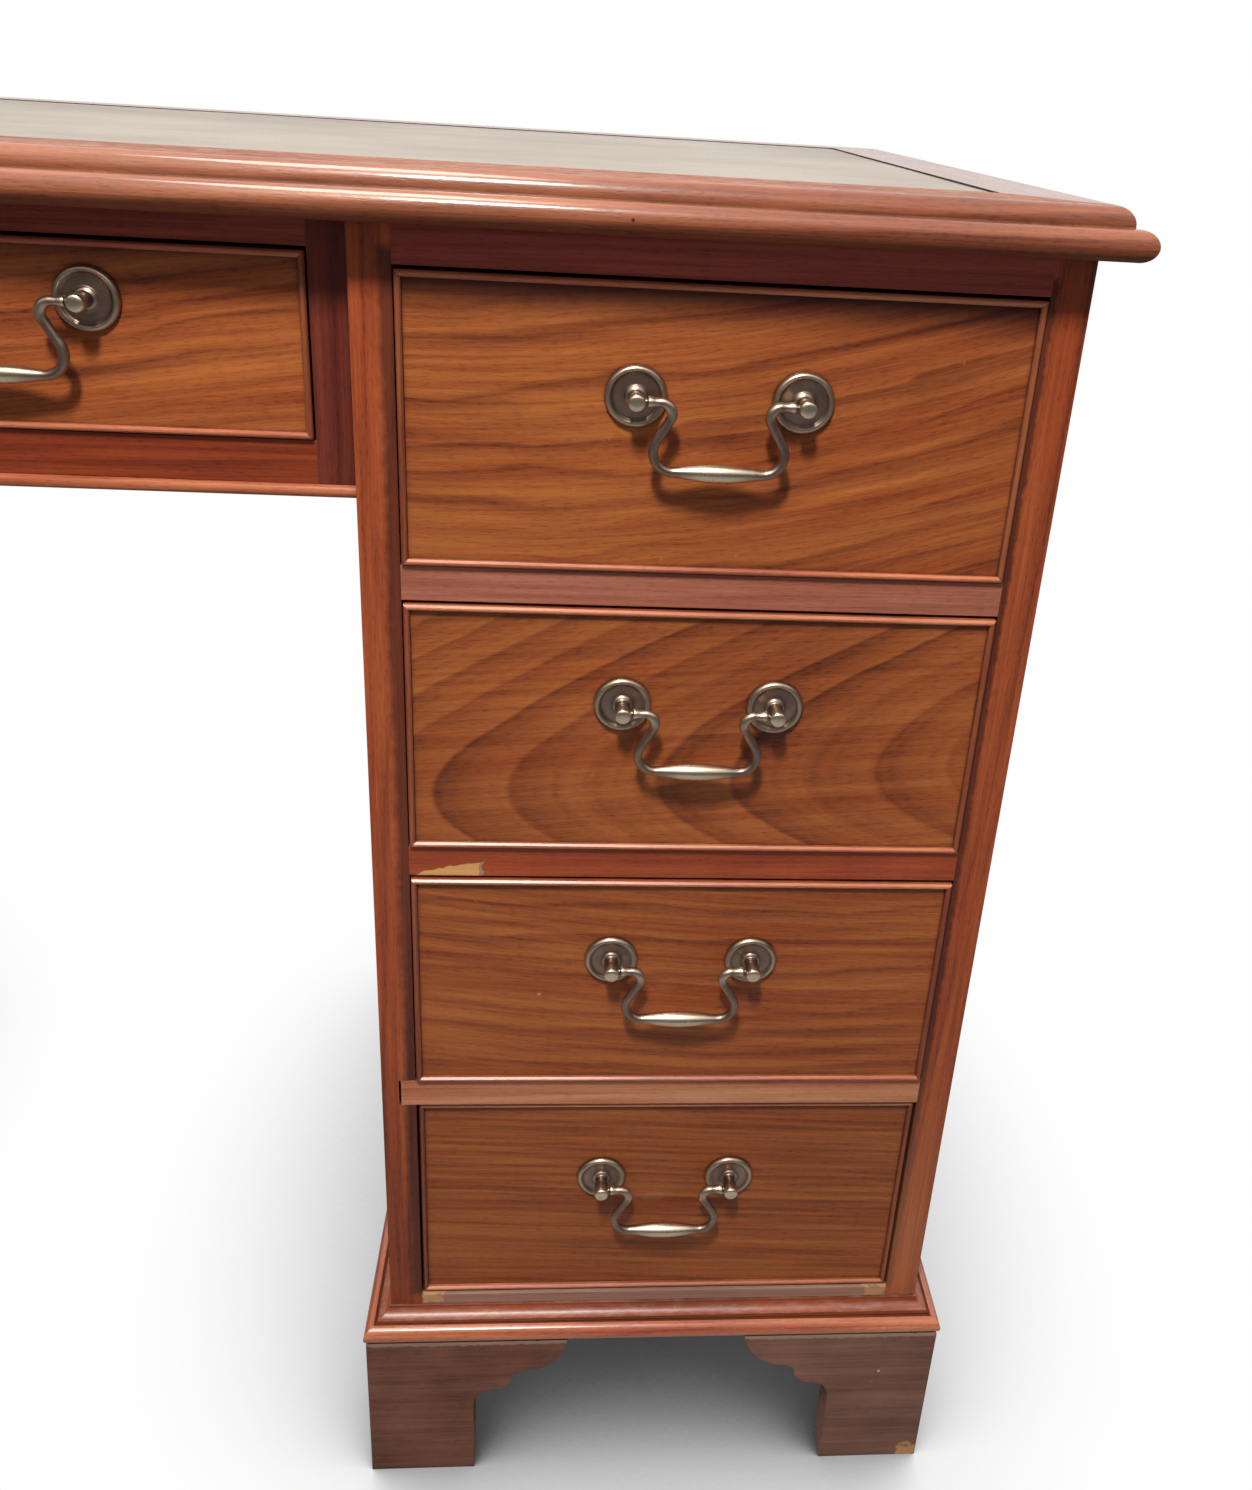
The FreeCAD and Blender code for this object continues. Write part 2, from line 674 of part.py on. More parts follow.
def bail_stations():
    """Places, headings and radii along the right half of a bail, from its pin to the grip."""
    turn = math.radians(bend_turn)
    collar = handle_half - post_head_radius - collar_gap
    neck_start = neck_reach + neck_radius
    stations = [((handle_half + pin_past_axis, 0), 0, pin_radius), ((collar, 0), 0, pin_radius),
                ((collar, 0), 0, collar_radius)]
    steps = [turn * index / bend_step_count for index in range(bend_step_count + 1)]
    neck = [((neck_start - neck_radius * math.sin(angle), neck_radius * (math.cos(angle) - 1)),
             angle, wire_radius) for angle in steps]
    shoulder_rise = shoulder_radius * (1 - math.cos(turn))
    fall = neck[-1][0][1] + bail_drop - shoulder_rise
    grip_end = (neck[-1][0][0] - fall / math.tan(turn) - shoulder_radius * math.sin(turn))
    shoulder = [((grip_end + shoulder_radius * math.sin(angle),
                  shoulder_radius * (1 - math.cos(angle)) - bail_drop), angle, wire_radius)
                for angle in reversed(steps)]
    grip = [((grip_length / 2 * place, -bail_drop), 0,
             wire_radius + (grip_radius - wire_radius) * swell)
            for place, swell in grip_swell_shares]
    return stations + neck + shoulder + grip


def bail(x, z, face):
    """Swan-neck bail: pins in the posts, collars, bent wire and a swelling grip."""
    centre = V(x, face - pivot_standoff, z)
    half = bail_stations()
    whole = [((-place[0], place[1]), -angle, radius) for place, angle, radius in half]
    whole += list(reversed(half[:-1]))
    rings = [ring(radius, wire_sides, centre + V(place[0], 0, place[1]), BACKWARD,
                  V(-math.sin(angle), 0, math.cos(angle))) for place, angle, radius in whole]
    return skinned(rings)


# All the nodes

def drawer_places():
    """Name, opening, face and handle places of every drawer."""
    places = []
    for side, x in pedestals().items():
        inner = (x[0] + side_thickness, x[1] - side_thickness)
        middle = (x[0] + x[1]) / 2
        for index, z in enumerate(opening_levels()):
            lowest = index == upper_drawer_count
            face = front + (bottom_drawer_inset if lowest else 0)
            places.append((f"{side}_drawer_{index + 1}", inner, z, face, [(middle, post_level(z))]))
    x = (-kneehole_opening_half, kneehole_opening_half)
    z = (kneehole_opening_bottom, kneehole_opening_top)
    inset = (x[1] - x[0]) * kneehole_handle_share
    handles = [(x[0] + inset, post_level(z)), (x[1] - inset, post_level(z))]
    places.append(("kneehole_drawer", x, z, kneehole_front, handles))
    return places


def post_level(z):
    """Height of the handle posts on a drawer in an opening."""
    return (z[0] + z[1]) / 2 + handle_rise


def pedestals():
    """X range of each pedestal."""
    outer = kneehole_half + pedestal_width
    return {"left": (-outer, -kneehole_half), "right": (kneehole_half, outer)}


def build():
    """Every node of the desk, by name."""
    nodes = {"top_border": Part.makeCompound(top_border()), "top_panel": top_panel(),
             "leather_inset": leather_inset()}
    runners = kneehole_runners()
    stops, blocks, backs, bottoms = [], [], [], []
    for side, x in pedestals().items():
        bare_end = side == "right"
        left_board = (x[0], x[0] + side_thickness)
        right_board = (x[1] - side_thickness, x[1])
        nodes[f"{side}_pedestal_left_side"] = pedestal_side(left_board, 1, bare_end)
        nodes[f"{side}_pedestal_right_side"] = pedestal_side(right_board, -1, False)
        nodes[f"{side}_pedestal_rails"] = pedestal_rails(x, bare_end)
        backs.append(pedestal_back(x))
        bottoms.append(pedestal_bottom(x))
        nodes[f"{side}_plinth_moulding"] = plinth_moulding(x)
        nodes[f"{side}_bracket_feet"] = bracket_feet(x)
        runners += pedestal_runners(x)
        blocks += glue_blocks(x)
    nodes["kneehole_rails"] = kneehole_rails()
    nodes["kneehole_stiles"] = kneehole_stiles()
    nodes["kneehole_apron_bead"] = apron_bead()
    nodes["kneehole_carcass"] = kneehole_carcass()
    for name, x, z, face, handles in drawer_places():
        nodes[f"{name}_front"], nodes[f"{name}_box"] = drawer_solids(x, z, face)
        posts = []
        for number, (middle, height) in enumerate(handles):
            posts += handle_posts(middle, height, face)
            label = f"{name}_bail" if len(handles) == 1 else f"{name}_bail_{number + 1}"
            nodes[label] = bail(middle, height, face)
        nodes[f"{name}_handle_posts"] = Part.makeCompound(posts)
        stops += drawer_stops(x, z[0], face + front_thickness)
    nodes["pedestal_backs"] = Part.makeCompound(backs)
    nodes["pedestal_bottoms"] = Part.makeCompound(bottoms)
    nodes["drawer_runners"] = Part.makeCompound(runners)
    nodes["drawer_stops"] = Part.makeCompound(stops)
    nodes["foot_glue_blocks"] = Part.makeCompound(blocks)
    return nodes


os.makedirs("parts", exist_ok=True)
for node, shape in build().items():
    shape.exportStep(f"parts/{node}.step")
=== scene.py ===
"""Finish, brass and leather of a mahogany kneehole desk, set round its packed carcass."""
import json
import math
from collections import namedtuple

import bmesh
import bpy
from bpy.props import FloatProperty, FloatVectorProperty, PointerProperty
from mathutils import Matrix, Vector


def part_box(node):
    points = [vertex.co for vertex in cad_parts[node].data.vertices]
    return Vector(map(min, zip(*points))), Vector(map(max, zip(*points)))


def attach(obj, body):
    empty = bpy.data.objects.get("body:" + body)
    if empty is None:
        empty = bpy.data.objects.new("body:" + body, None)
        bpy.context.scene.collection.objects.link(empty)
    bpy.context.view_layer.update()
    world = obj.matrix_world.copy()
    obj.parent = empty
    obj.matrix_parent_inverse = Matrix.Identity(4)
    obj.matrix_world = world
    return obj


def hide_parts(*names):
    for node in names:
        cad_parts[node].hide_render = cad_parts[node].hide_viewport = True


bl_info = {
    "name": "Kneehole Desk Finisher",
    "version": (1, 0, 0),
    "blender": (4, 5, 0),
    "location": "View3D > Sidebar > Kneehole Desk",
    "description": "Polishes the wood, casts the brass and lays the leather of a kneehole desk",
    "category": "Object",
}

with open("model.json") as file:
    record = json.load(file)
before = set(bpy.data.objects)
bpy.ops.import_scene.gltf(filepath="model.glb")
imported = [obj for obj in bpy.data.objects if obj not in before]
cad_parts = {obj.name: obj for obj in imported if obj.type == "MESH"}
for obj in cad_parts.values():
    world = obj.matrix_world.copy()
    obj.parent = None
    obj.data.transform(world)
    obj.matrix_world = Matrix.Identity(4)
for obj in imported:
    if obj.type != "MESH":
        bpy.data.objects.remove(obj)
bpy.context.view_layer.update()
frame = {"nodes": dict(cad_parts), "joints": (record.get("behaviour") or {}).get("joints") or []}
NODES = frame["nodes"]
SIDES = ("left", "right")
PEDESTAL_DRAWERS = [f"{side}_drawer_{row}" for side in SIDES for row in (1, 2, 3, 4)]
DRAWERS = PEDESTAL_DRAWERS + ["kneehole_drawer"]
MM = 0.001


# Settings

def shade(red, green, blue):
    """Linear colour of a screen colour."""
    parts = (red / 255, green / 255, blue / 255)
    return tuple(p / 12.92 if p <= 0.04045 else ((p + 0.055) / 1.055) ** 2.4 for p in parts)


def tone(label, text, *screen):
    """A colour that a user may change."""
    return FloatVectorProperty(name=label, description=text, default=shade(*screen),
                               subtype="COLOR", size=3, min=0.0, max=1.0)


def length(label, text, millimetres):
    """A length that a user may change."""
    return FloatProperty(name=label, description=text, default=millimetres * MM,
                         unit="LENGTH", precision=5, min=0.0)


def share(label, text, default):
    """A share from none to all that a user may change."""
    return FloatProperty(name=label, description=text, default=default, subtype="FACTOR",
                         min=0.0, max=1.0)


def angle(label, text, degrees):
    """An angle that a user may change."""
    return FloatProperty(name=label, description=text, default=math.radians(degrees),
                         subtype="ANGLE")


# Label and screen colours of each wood: its palest, middle and late tone, or its palest and late one.
WOODS = {
    "front": ("Drawer Fronts", (190, 114, 56), (152, 82, 43), (88, 40, 24)),
    "frame": ("Carcass", (182, 97, 53), (151, 74, 42), (94, 42, 26)),
    "top": ("Moulded Border", (180, 112, 75), (148, 83, 53), (98, 48, 33)),
    "faded": ("Faded Rail", (190, 130, 108), (166, 102, 81), (126, 70, 55)),
    "dusty": ("Dusty Rail", (216, 156, 118), (190, 122, 88), (146, 84, 60)),
    "rail": ("Rails", (186, 98, 58), (160, 76, 46), (112, 48, 32)),
    "bead": ("Cock Beads", (204, 128, 86), (172, 92, 60), (120, 54, 36)),
    "foot": ("Bracket Feet", (140, 94, 76), (86, 54, 44)),
    "lining": ("Drawer Boxes", (188, 142, 94), (142, 96, 58)),
    "deal": ("Inner Boards", (196, 152, 102), (150, 100, 60)),
}


def wood_settings():
    """The tones of all the woods, as properties."""
    made = {}
    for name, (label, *screens) in WOODS.items():
        parts = ("pale", "mid", "dark") if len(screens) == 3 else ("pale", "dark")
        for part, screen in zip(parts, screens):
            made[f"{name}_{part}"] = tone(f"{label}, {part.title()}",
                                          f"{part.title()} tone of the {label.lower()}", *screen)
    return made


class DeskWood(bpy.types.PropertyGroup):
    """Tones and polish of the woods."""
    __annotations__ = wood_settings()
    bare: tone("Bare Wood", "Fresh wood where veneer is chipped off", 242, 182, 114)
    # Colour of dust on ledges, also laid as a painted sheen on faces that look up.
    dust: tone("Dust", "Old dust and wax on ledges", 178, 150, 132)
    # Colour of grime, and of the painted shade in corners, gaps and the nail hole.
    grime: tone("Grime", "Dirt that has settled in corners", 34, 20, 16)
    # Colour of the old dark polish beside the drawers, also of the painted shade along the upper edge of
    # the fronts.
    stain_and_shade: tone("Stain", "Old dark polish beside the drawers", 62, 26, 26)
    polish: share("Polish Roughness", "Roughness of the waxed polish", 0.36)


class DeskLeather(bpy.types.PropertyGroup):
    """Tones and grain of the writing leather."""
    pale: tone("Pale", "Rubbed places of the leather", 165, 153, 140)
    dark: tone("Dark", "Creases of the leather", 116, 106, 94)
    cell: length("Grain Size", "Width of one pebble of the grain", 1.3)
    waviness: length("Waviness", "Height of the slow waves of the glued leather", 0.18)


class DeskBrass(bpy.types.PropertyGroup):
    """Tones and sizes of the swan-neck handles."""
    bright: tone("Bright", "Brass rubbed by hands", 230, 214, 186)
    dull: tone("Dull", "Brass under old patina", 132, 107, 96)
    centres: length("Post Centres", "Distance between the two posts", 74.5)
    standoff: length("Pivot Standoff", "Distance of the bail's axis from the drawer", 11.0)
    drop: length("Bail Drop", "Fall of the grip below the axis", 31.0)
    neck_reach: length("Neck Reach", "Middle of the neck's bend from the handle's middle", 21.5)
    neck_radius: length("Neck Radius", "Radius of the neck's bend", 5.0)
    shoulder_radius: length("Shoulder Radius", "Radius of the bend into the grip", 9.0)
    bend: angle("Bend", "Turn of the neck and of the shoulder", 120.0)
    wire: length("Wire Radius", "Radius of the bail's thin parts", 2.25)
    grip: length("Grip Radius", "Radius of the swelling in the grip", 4.3)
    grip_half: length("Grip Half Length", "Half the length of the swelling", 20.5)


class DeskStage(bpy.types.PropertyGroup):
    """Camera and light."""
    camera_place: FloatVectorProperty(name="Camera", description="Place of the camera",
                                      default=(0.37296, -0.79227, 0.81035),
                                      subtype="TRANSLATION", unit="LENGTH", size=3)
    yaw: angle("Yaw", "Turn of the camera to the right", 5.2786)
    pitch: angle("Pitch", "Tilt of the camera downwards", 22.6569)
    roll: angle("Roll", "Roll of the camera", 3.6072)
    key: FloatProperty(name="Key Power", description="Power of the high front light", default=26.0,
                       subtype="POWER", min=0.0)
    overhead: FloatProperty(name="Overhead Power", description="Power of the light over the top",
                            default=13.0, subtype="POWER", min=0.0)
    rear: FloatProperty(name="Rear Power", description="Power of the soft light behind the desk",
                        default=9.0, subtype="POWER", min=0.0)
    key_tone: tone("Lamp Tone", "Colour of the lamps", 255, 250, 240)
    fill_tone: tone("Fill Tone", "Colour of the light from all round", 246, 240, 255)
    ambient: share("Ambient", "Strength of the light from all round", 0.23)


class DeskSettings(bpy.types.PropertyGroup):
    """All that a user would change on the desk."""
    wood: PointerProperty(type=DeskWood)
    leather: PointerProperty(type=DeskLeather)
    brass: PointerProperty(type=DeskBrass)
    stage: PointerProperty(type=DeskStage)


def settings():
    """The settings of the open scene."""
    return bpy.context.scene.kneehole_desk


# Shader trees

class Graph:
    """A shader tree, with short calls that add nodes to it."""

    def __init__(self, tree):
        self.tree = tree

    def feed(self, socket, value):
        """Links or sets one socket."""
        if isinstance(value, bpy.types.NodeSocket):
            self.tree.links.new(value, socket)
        elif socket.type == "RGBA":
            socket.default_value = (*tuple(value)[:3], 1.0)
        else:
            socket.default_value = value

    def add(self, kind, inputs=None, **choices):
        """Adds a node, with its inputs fed."""
        node = self.tree.nodes.new(kind)
        for name, value in choices.items():
            setattr(node, name, value)
        self.fill(node, inputs or {})
        return node

    def fill(self, node, inputs):
        """Feeds the named inputs of a node."""
        for name, value in inputs.items():
            self.feed(node.inputs[name], value)

    def math(self, operation, *values):
        """One step of arithmetic."""
        node = self.add("ShaderNodeMath", operation=operation)
        for socket, value in zip(node.inputs, values):
            self.feed(socket, value)
        return node.outputs[0]

    def vector(self, operation, *values):
        """One step of vector arithmetic."""
        node = self.add("ShaderNodeVectorMath", operation=operation)
        for socket, value in zip(node.inputs, values):
            self.feed(socket, value)
        return node.outputs[0]

    def dot(self, first, second):
        """Dot product of two vectors."""
        node = self.add("ShaderNodeVectorMath", {0: first, 1: second}, operation="DOT_PRODUCT")
        return node.outputs[1]

    def split(self, vector):
        """The three parts of a vector."""
        return self.add("ShaderNodeSeparateXYZ", {0: vector}).outputs

    def join(self, x, y, z):
        """A vector of three parts."""
        return self.add("ShaderNodeCombineXYZ", {0: x, 1: y, 2: z}).outputs[0]

    def ramp(self, value, low, high, start=0.0, end=1.0):
        """Smooth step from one value to another."""
        node = self.add("ShaderNodeMapRange", interpolation_type="SMOOTHSTEP")
        for socket, part in zip(node.inputs, (value, low, high, start, end)):
            self.feed(socket, part)
        return node.outputs[0]

    def mix(self, part, first, second, blend="MIX"):
        """Blend of two colours."""
        node = self.add("ShaderNodeMix", {0: part, 6: first, 7: second}, data_type="RGBA",
                        blend_type=blend)
        return node.outputs[2]

    def choose(self, part, first, second):
        """Blend of two vectors."""
        node = self.add("ShaderNodeMix", {0: part, 4: first, 5: second}, data_type="VECTOR")
        return node.outputs[1]

    def noise(self, vector, stretch, detail=2.0, roughness=0.5):
        """Soft noise, so many waves to the metre along each axis, or along all of them alike."""
        waves = stretch if isinstance(stretch, tuple) else (stretch, stretch, stretch)
        node = self.add("ShaderNodeTexNoise",
                        {"Vector": self.vector("MULTIPLY", vector, waves), "Scale": 1.0,
                         "Detail": detail, "Roughness": roughness})
        return node.outputs[0]

    def swing(self, vector, stretch, detail=2.0):
        """Soft noise about nought."""
        return self.math("SUBTRACT", self.noise(vector, stretch, detail), 0.5)

    def late_wood(self, turns, power, edge):
        """Dark late wood of each ring, stronger in some years than in others."""
        year = self.math("FRACT", turns)
        weight = self.add("ShaderNodeTexWhiteNoise", {"W": self.math("FLOOR", turns)},
                          noise_dimensions="1D").outputs[0]
        late = self.math("MULTIPLY", self.math("POWER", year, power), self.ramp(year, 1.0, edge))
        return self.math("MULTIPLY", late, self.ramp(weight, 0.1, 0.9, 0.4, 1.2))

    def place(self):
        """Rest position on the desk."""
        return self.add("ShaderNodeTexCoord").outputs["Object"]

    def effect(self, name, **inputs):
        """Places one of the shared effects."""
        node = self.add("ShaderNodeGroup")
        node.node_tree = effect_tree(name)
        for label, value in inputs.items():
            self.feed(node.inputs[label.replace("_", " ").title()], value)
        return node.outputs


def new_effect(name, takes, gives):
    """Empty node group with named inputs and outputs."""
    tree = bpy.data.node_groups.new(name, "ShaderNodeTree")
    for label, default in takes.items():
        kind = "NodeSocketVector" if default is None else "NodeSocketFloat"
        socket = tree.interface.new_socket(name=label, in_out="INPUT", socket_type=kind)
        if default is not None:
            socket.default_value = default
    for label, kind in gives.items():
        tree.interface.new_socket(name=label, in_out="OUTPUT", socket_type="NodeSocket" + kind)
    graph = Graph(tree)
    return graph, graph.add("NodeGroupInput").outputs, graph.add("NodeGroupOutput").inputs


# Wander of the growth rings, coarse to fine: waves to the metre along and across the grain, strength.
WANDERS = ((4, 12, 2.0), (15, 62, 0.7), (55, 320, 0.14))
# Waves to the metre along, across and through the grain of its streaks and of its open pores.
FINE_STREAKS = (7, 460, 460)
FLAMES = (8, 140, 140)
BROAD_STREAKS = (3.2, 46, 46)
OPEN_PORES = (190, 1150, 1150)
# Number of thin rings to each growth ring, and their strength.
THIN_RINGS = 3.7
THIN_STRENGTH = 0.35


def grain_effect():
    """Growth rings cut by a board, fine streaks and open pores; X runs along the grain."""
    graph, takes, gives = new_effect(
        "Mahogany Grain",
        {"Vector": None, "Spacing": 0.01, "Pith Side": 0.0, "Pith Depth": 0.2, "Taper": 0.0,
         "Wave": 0.006, "Crisp": 0.6},
        {"Rings": "Float", "Streaks": "Float", "Bands": "Float", "Pores": "Float"})
    at = takes["Vector"]
    along, across, through = graph.split(at)
    wander = 0.0
    for lengthways, crossways, strength in WANDERS:
        swing = graph.swing(at, (lengthways, crossways, crossways))
        wander = graph.math("MULTIPLY_ADD", swing, strength, wander)
    side = graph.math("SUBTRACT", across, takes["Pith Side"])
    side = graph.math("MULTIPLY_ADD", wander, takes["Wave"], side)
    depth = graph.math("ADD", takes["Pith Depth"], through)
    reach = graph.math("ADD", graph.math("MULTIPLY", side, side), graph.math("MULTIPLY", depth, depth))
    cone = graph.math("SUBTRACT", graph.math("SQRT", reach),
                      graph.math("MULTIPLY", along, takes["Taper"]))
    turns = graph.math("DIVIDE", cone, takes["Spacing"])
    late = graph.late_wood(turns, 1.4, takes["Crisp"])
    thin = graph.late_wood(graph.math("MULTIPLY", turns, THIN_RINGS), 1.2, 0.6)
    graph.feed(gives["Rings"], graph.math("MULTIPLY_ADD", thin, THIN_STRENGTH, late))
    fine = graph.noise(at, FINE_STREAKS, 4, 0.7)
    flame = graph.noise(at, FLAMES, 3, 0.6)
    broad = graph.noise(at, BROAD_STREAKS, 3)
    streaks = graph.math("MULTIPLY_ADD", fine, 0.36, graph.math("MULTIPLY", broad, 0.3))
    streaks = graph.math("MULTIPLY_ADD", flame, 0.34, streaks)
    graph.feed(gives["Streaks"], graph.ramp(streaks, 0.34, 0.66))
    graph.feed(gives["Bands"], graph.ramp(broad, 0.38, 0.64))
    graph.feed(gives["Pores"], graph.ramp(graph.noise(at, OPEN_PORES), 0.5, 0.7))
    return graph.tree


def edge_effect():
    """Softened edges and the places where they are rubbed."""
    graph, takes, gives = new_effect("Rubbed Edge", {"Vector": None, "Radius": 0.0007},
                                     {"Rubbed": "Float", "Normal": "Vector"})
    soft = graph.add("ShaderNodeBevel", {"Radius": takes["Radius"]}, samples=4).outputs[0]
    flat = graph.add("ShaderNodeNewGeometry").outputs["Normal"]
    turn = graph.math("SUBTRACT", 1.0, graph.dot(soft, flat))
    patchy = graph.ramp(graph.noise(takes["Vector"], 38, 3), 0.35, 0.65, 0.25)
    graph.feed(gives["Rubbed"], graph.math("MULTIPLY", graph.ramp(turn, 0.01, 0.16), patchy))
    graph.feed(gives["Normal"], soft)
    return graph.tree


def shade_and_grime_effect():
    """Painted shade and grime in corners and gaps, found by ambient occlusion, and dust with a painted
    sheen on faces that look up.
    """
    graph, takes, gives = new_effect("Settled Dirt", {"Vector": None, "Reach": 0.012},
                                     {"Dirt": "Float", "Dust": "Float"})
    open_air = graph.add("ShaderNodeAmbientOcclusion", {"Distance": takes["Reach"]},
                         samples=6).outputs["AO"]
    patchy = graph.ramp(graph.noise(takes["Vector"], 26, 3), 0.3, 0.7, 0.55)
    closed = graph.ramp(open_air, 0.88, 0.36)
    graph.feed(gives["Dirt"], graph.math("MULTIPLY", closed, patchy))
    upward = graph.split(graph.add("ShaderNodeNewGeometry").outputs["Normal"])[2]
    lying = graph.math("MULTIPLY", graph.ramp(upward, 0.1, 0.9),
                       graph.ramp(graph.noise(takes["Vector"], (90, 260, 260), 5, 0.75), 0.42, 0.68))
    graph.feed(gives["Dust"], lying)
    return graph.tree


def polish_effect():
    """Uneven waxed polish: roughness and slow lumps."""
    graph, takes, gives = new_effect("Old Polish", {"Vector": None, "Pores": 0.0, "Base": 0.36},
                                     {"Roughness": "Float", "Lumps": "Float"})
    clouds = graph.noise(takes["Vector"], 14, 4, 0.6)
    scuffs = graph.ramp(graph.noise(takes["Vector"], (300, 60, 60), 3), 0.56, 0.72)
    rough = graph.math("MULTIPLY_ADD", graph.math("SUBTRACT", clouds, 0.5), 0.22, takes["Base"])
    rough = graph.math("MULTIPLY_ADD", scuffs, 0.07, rough)
    rough = graph.math("MULTIPLY_ADD", takes["Pores"], 0.12, rough)
    graph.feed(gives["Roughness"], graph.math("MAXIMUM", rough, 0.12))
    graph.feed(gives["Lumps"], graph.noise(takes["Vector"], 60, 3))
    return graph.tree


def chip_effect():
    """Ragged patch between two corners, of bare wood, dust or stain; it may taper to the left."""
    graph, takes, gives = new_effect(
        "Veneer Chip", {"Vector": None, "Low": None, "High": None, "Ragged": 0.002, "Slant": 0.0,
                        "Soft": 0.0005}, {"Chip": "Float"})
    torn = graph.add("ShaderNodeTexNoise", {"Vector": takes["Vector"], "Scale": 210.0,
                                            "Detail": 3.0}).outputs[1]
    stray = graph.vector("MULTIPLY", graph.vector("SUBTRACT", torn, (0.5, 0.5, 0.5)),
                         graph.join(takes["Ragged"], 0.0, takes["Ragged"]))
    at = graph.vector("ADD", takes["Vector"], stray)
    above = graph.vector("SUBTRACT", at, takes["Low"])
    inside = graph.vector("MINIMUM", above, graph.vector("SUBTRACT", takes["High"], at))
    x, y, z = graph.split(inside)
    least = graph.math("MINIMUM", graph.math("MINIMUM", x, y), z)
    from_left, _, height = graph.split(above)
    swell = graph.math("POWER", graph.math("MAXIMUM", from_left, 0.0), 0.6)
    under = graph.math("SUBTRACT", graph.math("MULTIPLY", swell, takes["Slant"]), height)
    least = graph.math("MINIMUM", least, under)
    graph.feed(gives["Chip"], graph.ramp(least, 0.0, takes["Soft"]))
    return graph.tree


def spot_effect():
    """Small round mark, such as a nail hole or a fleck of paint."""
    graph, takes, gives = new_effect("Spot", {"Vector": None, "Centre": None, "Radius": 0.001},
                                     {"Spot": "Float"})
    away = graph.add("ShaderNodeVectorMath", {0: takes["Vector"], 1: takes["Centre"]},
                     operation="DISTANCE").outputs["Value"]
    graph.feed(gives["Spot"], graph.ramp(graph.math("DIVIDE", away, takes["Radius"]), 1.0, 0.7))
    return graph.tree


EFFECTS = {"Spot": spot_effect, "Mahogany Grain": grain_effect, "Rubbed Edge": edge_effect,
           "Settled Dirt": shade_and_grime_effect, "Old Polish": polish_effect, "Veneer Chip": chip_effect}


def effect_tree(name):
    """A shared effect, built on first use."""
    return bpy.data.node_groups.get(name) or EFFECTS[name]()


def new_material(name):
    """Empty material with its shader."""
    material = bpy.data.materials.new(name)
    material.use_nodes = True
    graph = Graph(material.node_tree)
    shader = material.node_tree.nodes["Principled BSDF"]
    return material, graph, shader


# Woods

AXES = {"X": (0, 2, 1), "Y": (1, 2, 0), "Z": (2, 0, 1)}

# How far sharp marks and soft ones are laid past the wood, so that they fade only within it.
MARK_PAST = 10 * MM
HAZE_PAST = 100 * MM
# A mark on a wood: its corners, colour and cover, how ragged its edge is, how fast it widens from
# its left end (at once, if that is blunt), and the width over which its edge fades.
BLUNT = 1000.0
Patch = namedtuple("Patch", "low high mark cover ragged slant soft", defaults=(0.002, BLUNT, 0.0005))


def straight(axis, boards=None):
    """Grain along one axis; boards gives the steps after which another board begins."""
    def vector(graph):
        at = graph.place()
        if boards:
            step = graph.vector("SNAP", at, boards)
            at = graph.vector("ADD", at, graph.vector("MULTIPLY", step, (3.7, 4.3, 2.9)))
        parts = graph.split(at)
        return graph.join(*(parts[index] for index in AXES[axis]))
    return vector


def mitred(middle, half_width, half_depth):
    """Grain along the lengths of a frame that is mitred at its corners."""
    def vector(graph):
        at = graph.place()
        x, y, z = graph.split(at)
        past_side = graph.math("SUBTRACT", graph.math("ABSOLUTE", graph.math("SUBTRACT", x, middle)),
                               half_width)
        past_front = graph.math("SUBTRACT", graph.math("ABSOLUTE", y), half_depth)
        on_side = graph.math("GREATER_THAN", past_side, past_front)
        return graph.choose(on_side, graph.join(x, z, y), graph.join(y, z, x))
    return vector


def leaning(centre, degrees, bow=0.0):
    """Grain of a drawer front, along a line that leans from the level and may bow upwards."""
    def vector(graph):
        turned = graph.add("ShaderNodeVectorRotate",
                           {"Vector": graph.place(), "Center": centre,
                            "Angle": math.radians(degrees)}, rotation_type="Y_AXIS").outputs[0]
        x, y, z = graph.split(graph.vector("SUBTRACT", turned, centre))
        bent = graph.math("MULTIPLY_ADD", graph.math("MULTIPLY", x, x), -bow, z)
        return graph.join(x, bent, y)
    return vector


# Usual level of each part of the grain, about which it darkens or lightens the wood.
USUAL = {"Streaks": 0.5, "Rings": 0.34, "Pores": 0.2}
# Strength of the pores, and the cast of the redder bands.
PORE_STRENGTH = 0.18
RUDDY = (1.0, 0.8, 0.72)


def lighter(colour, gain, lift):
    """A colour made lighter, as where polish is rubbed off."""
    return [min(1.0, part * gain + lift) for part in colour]


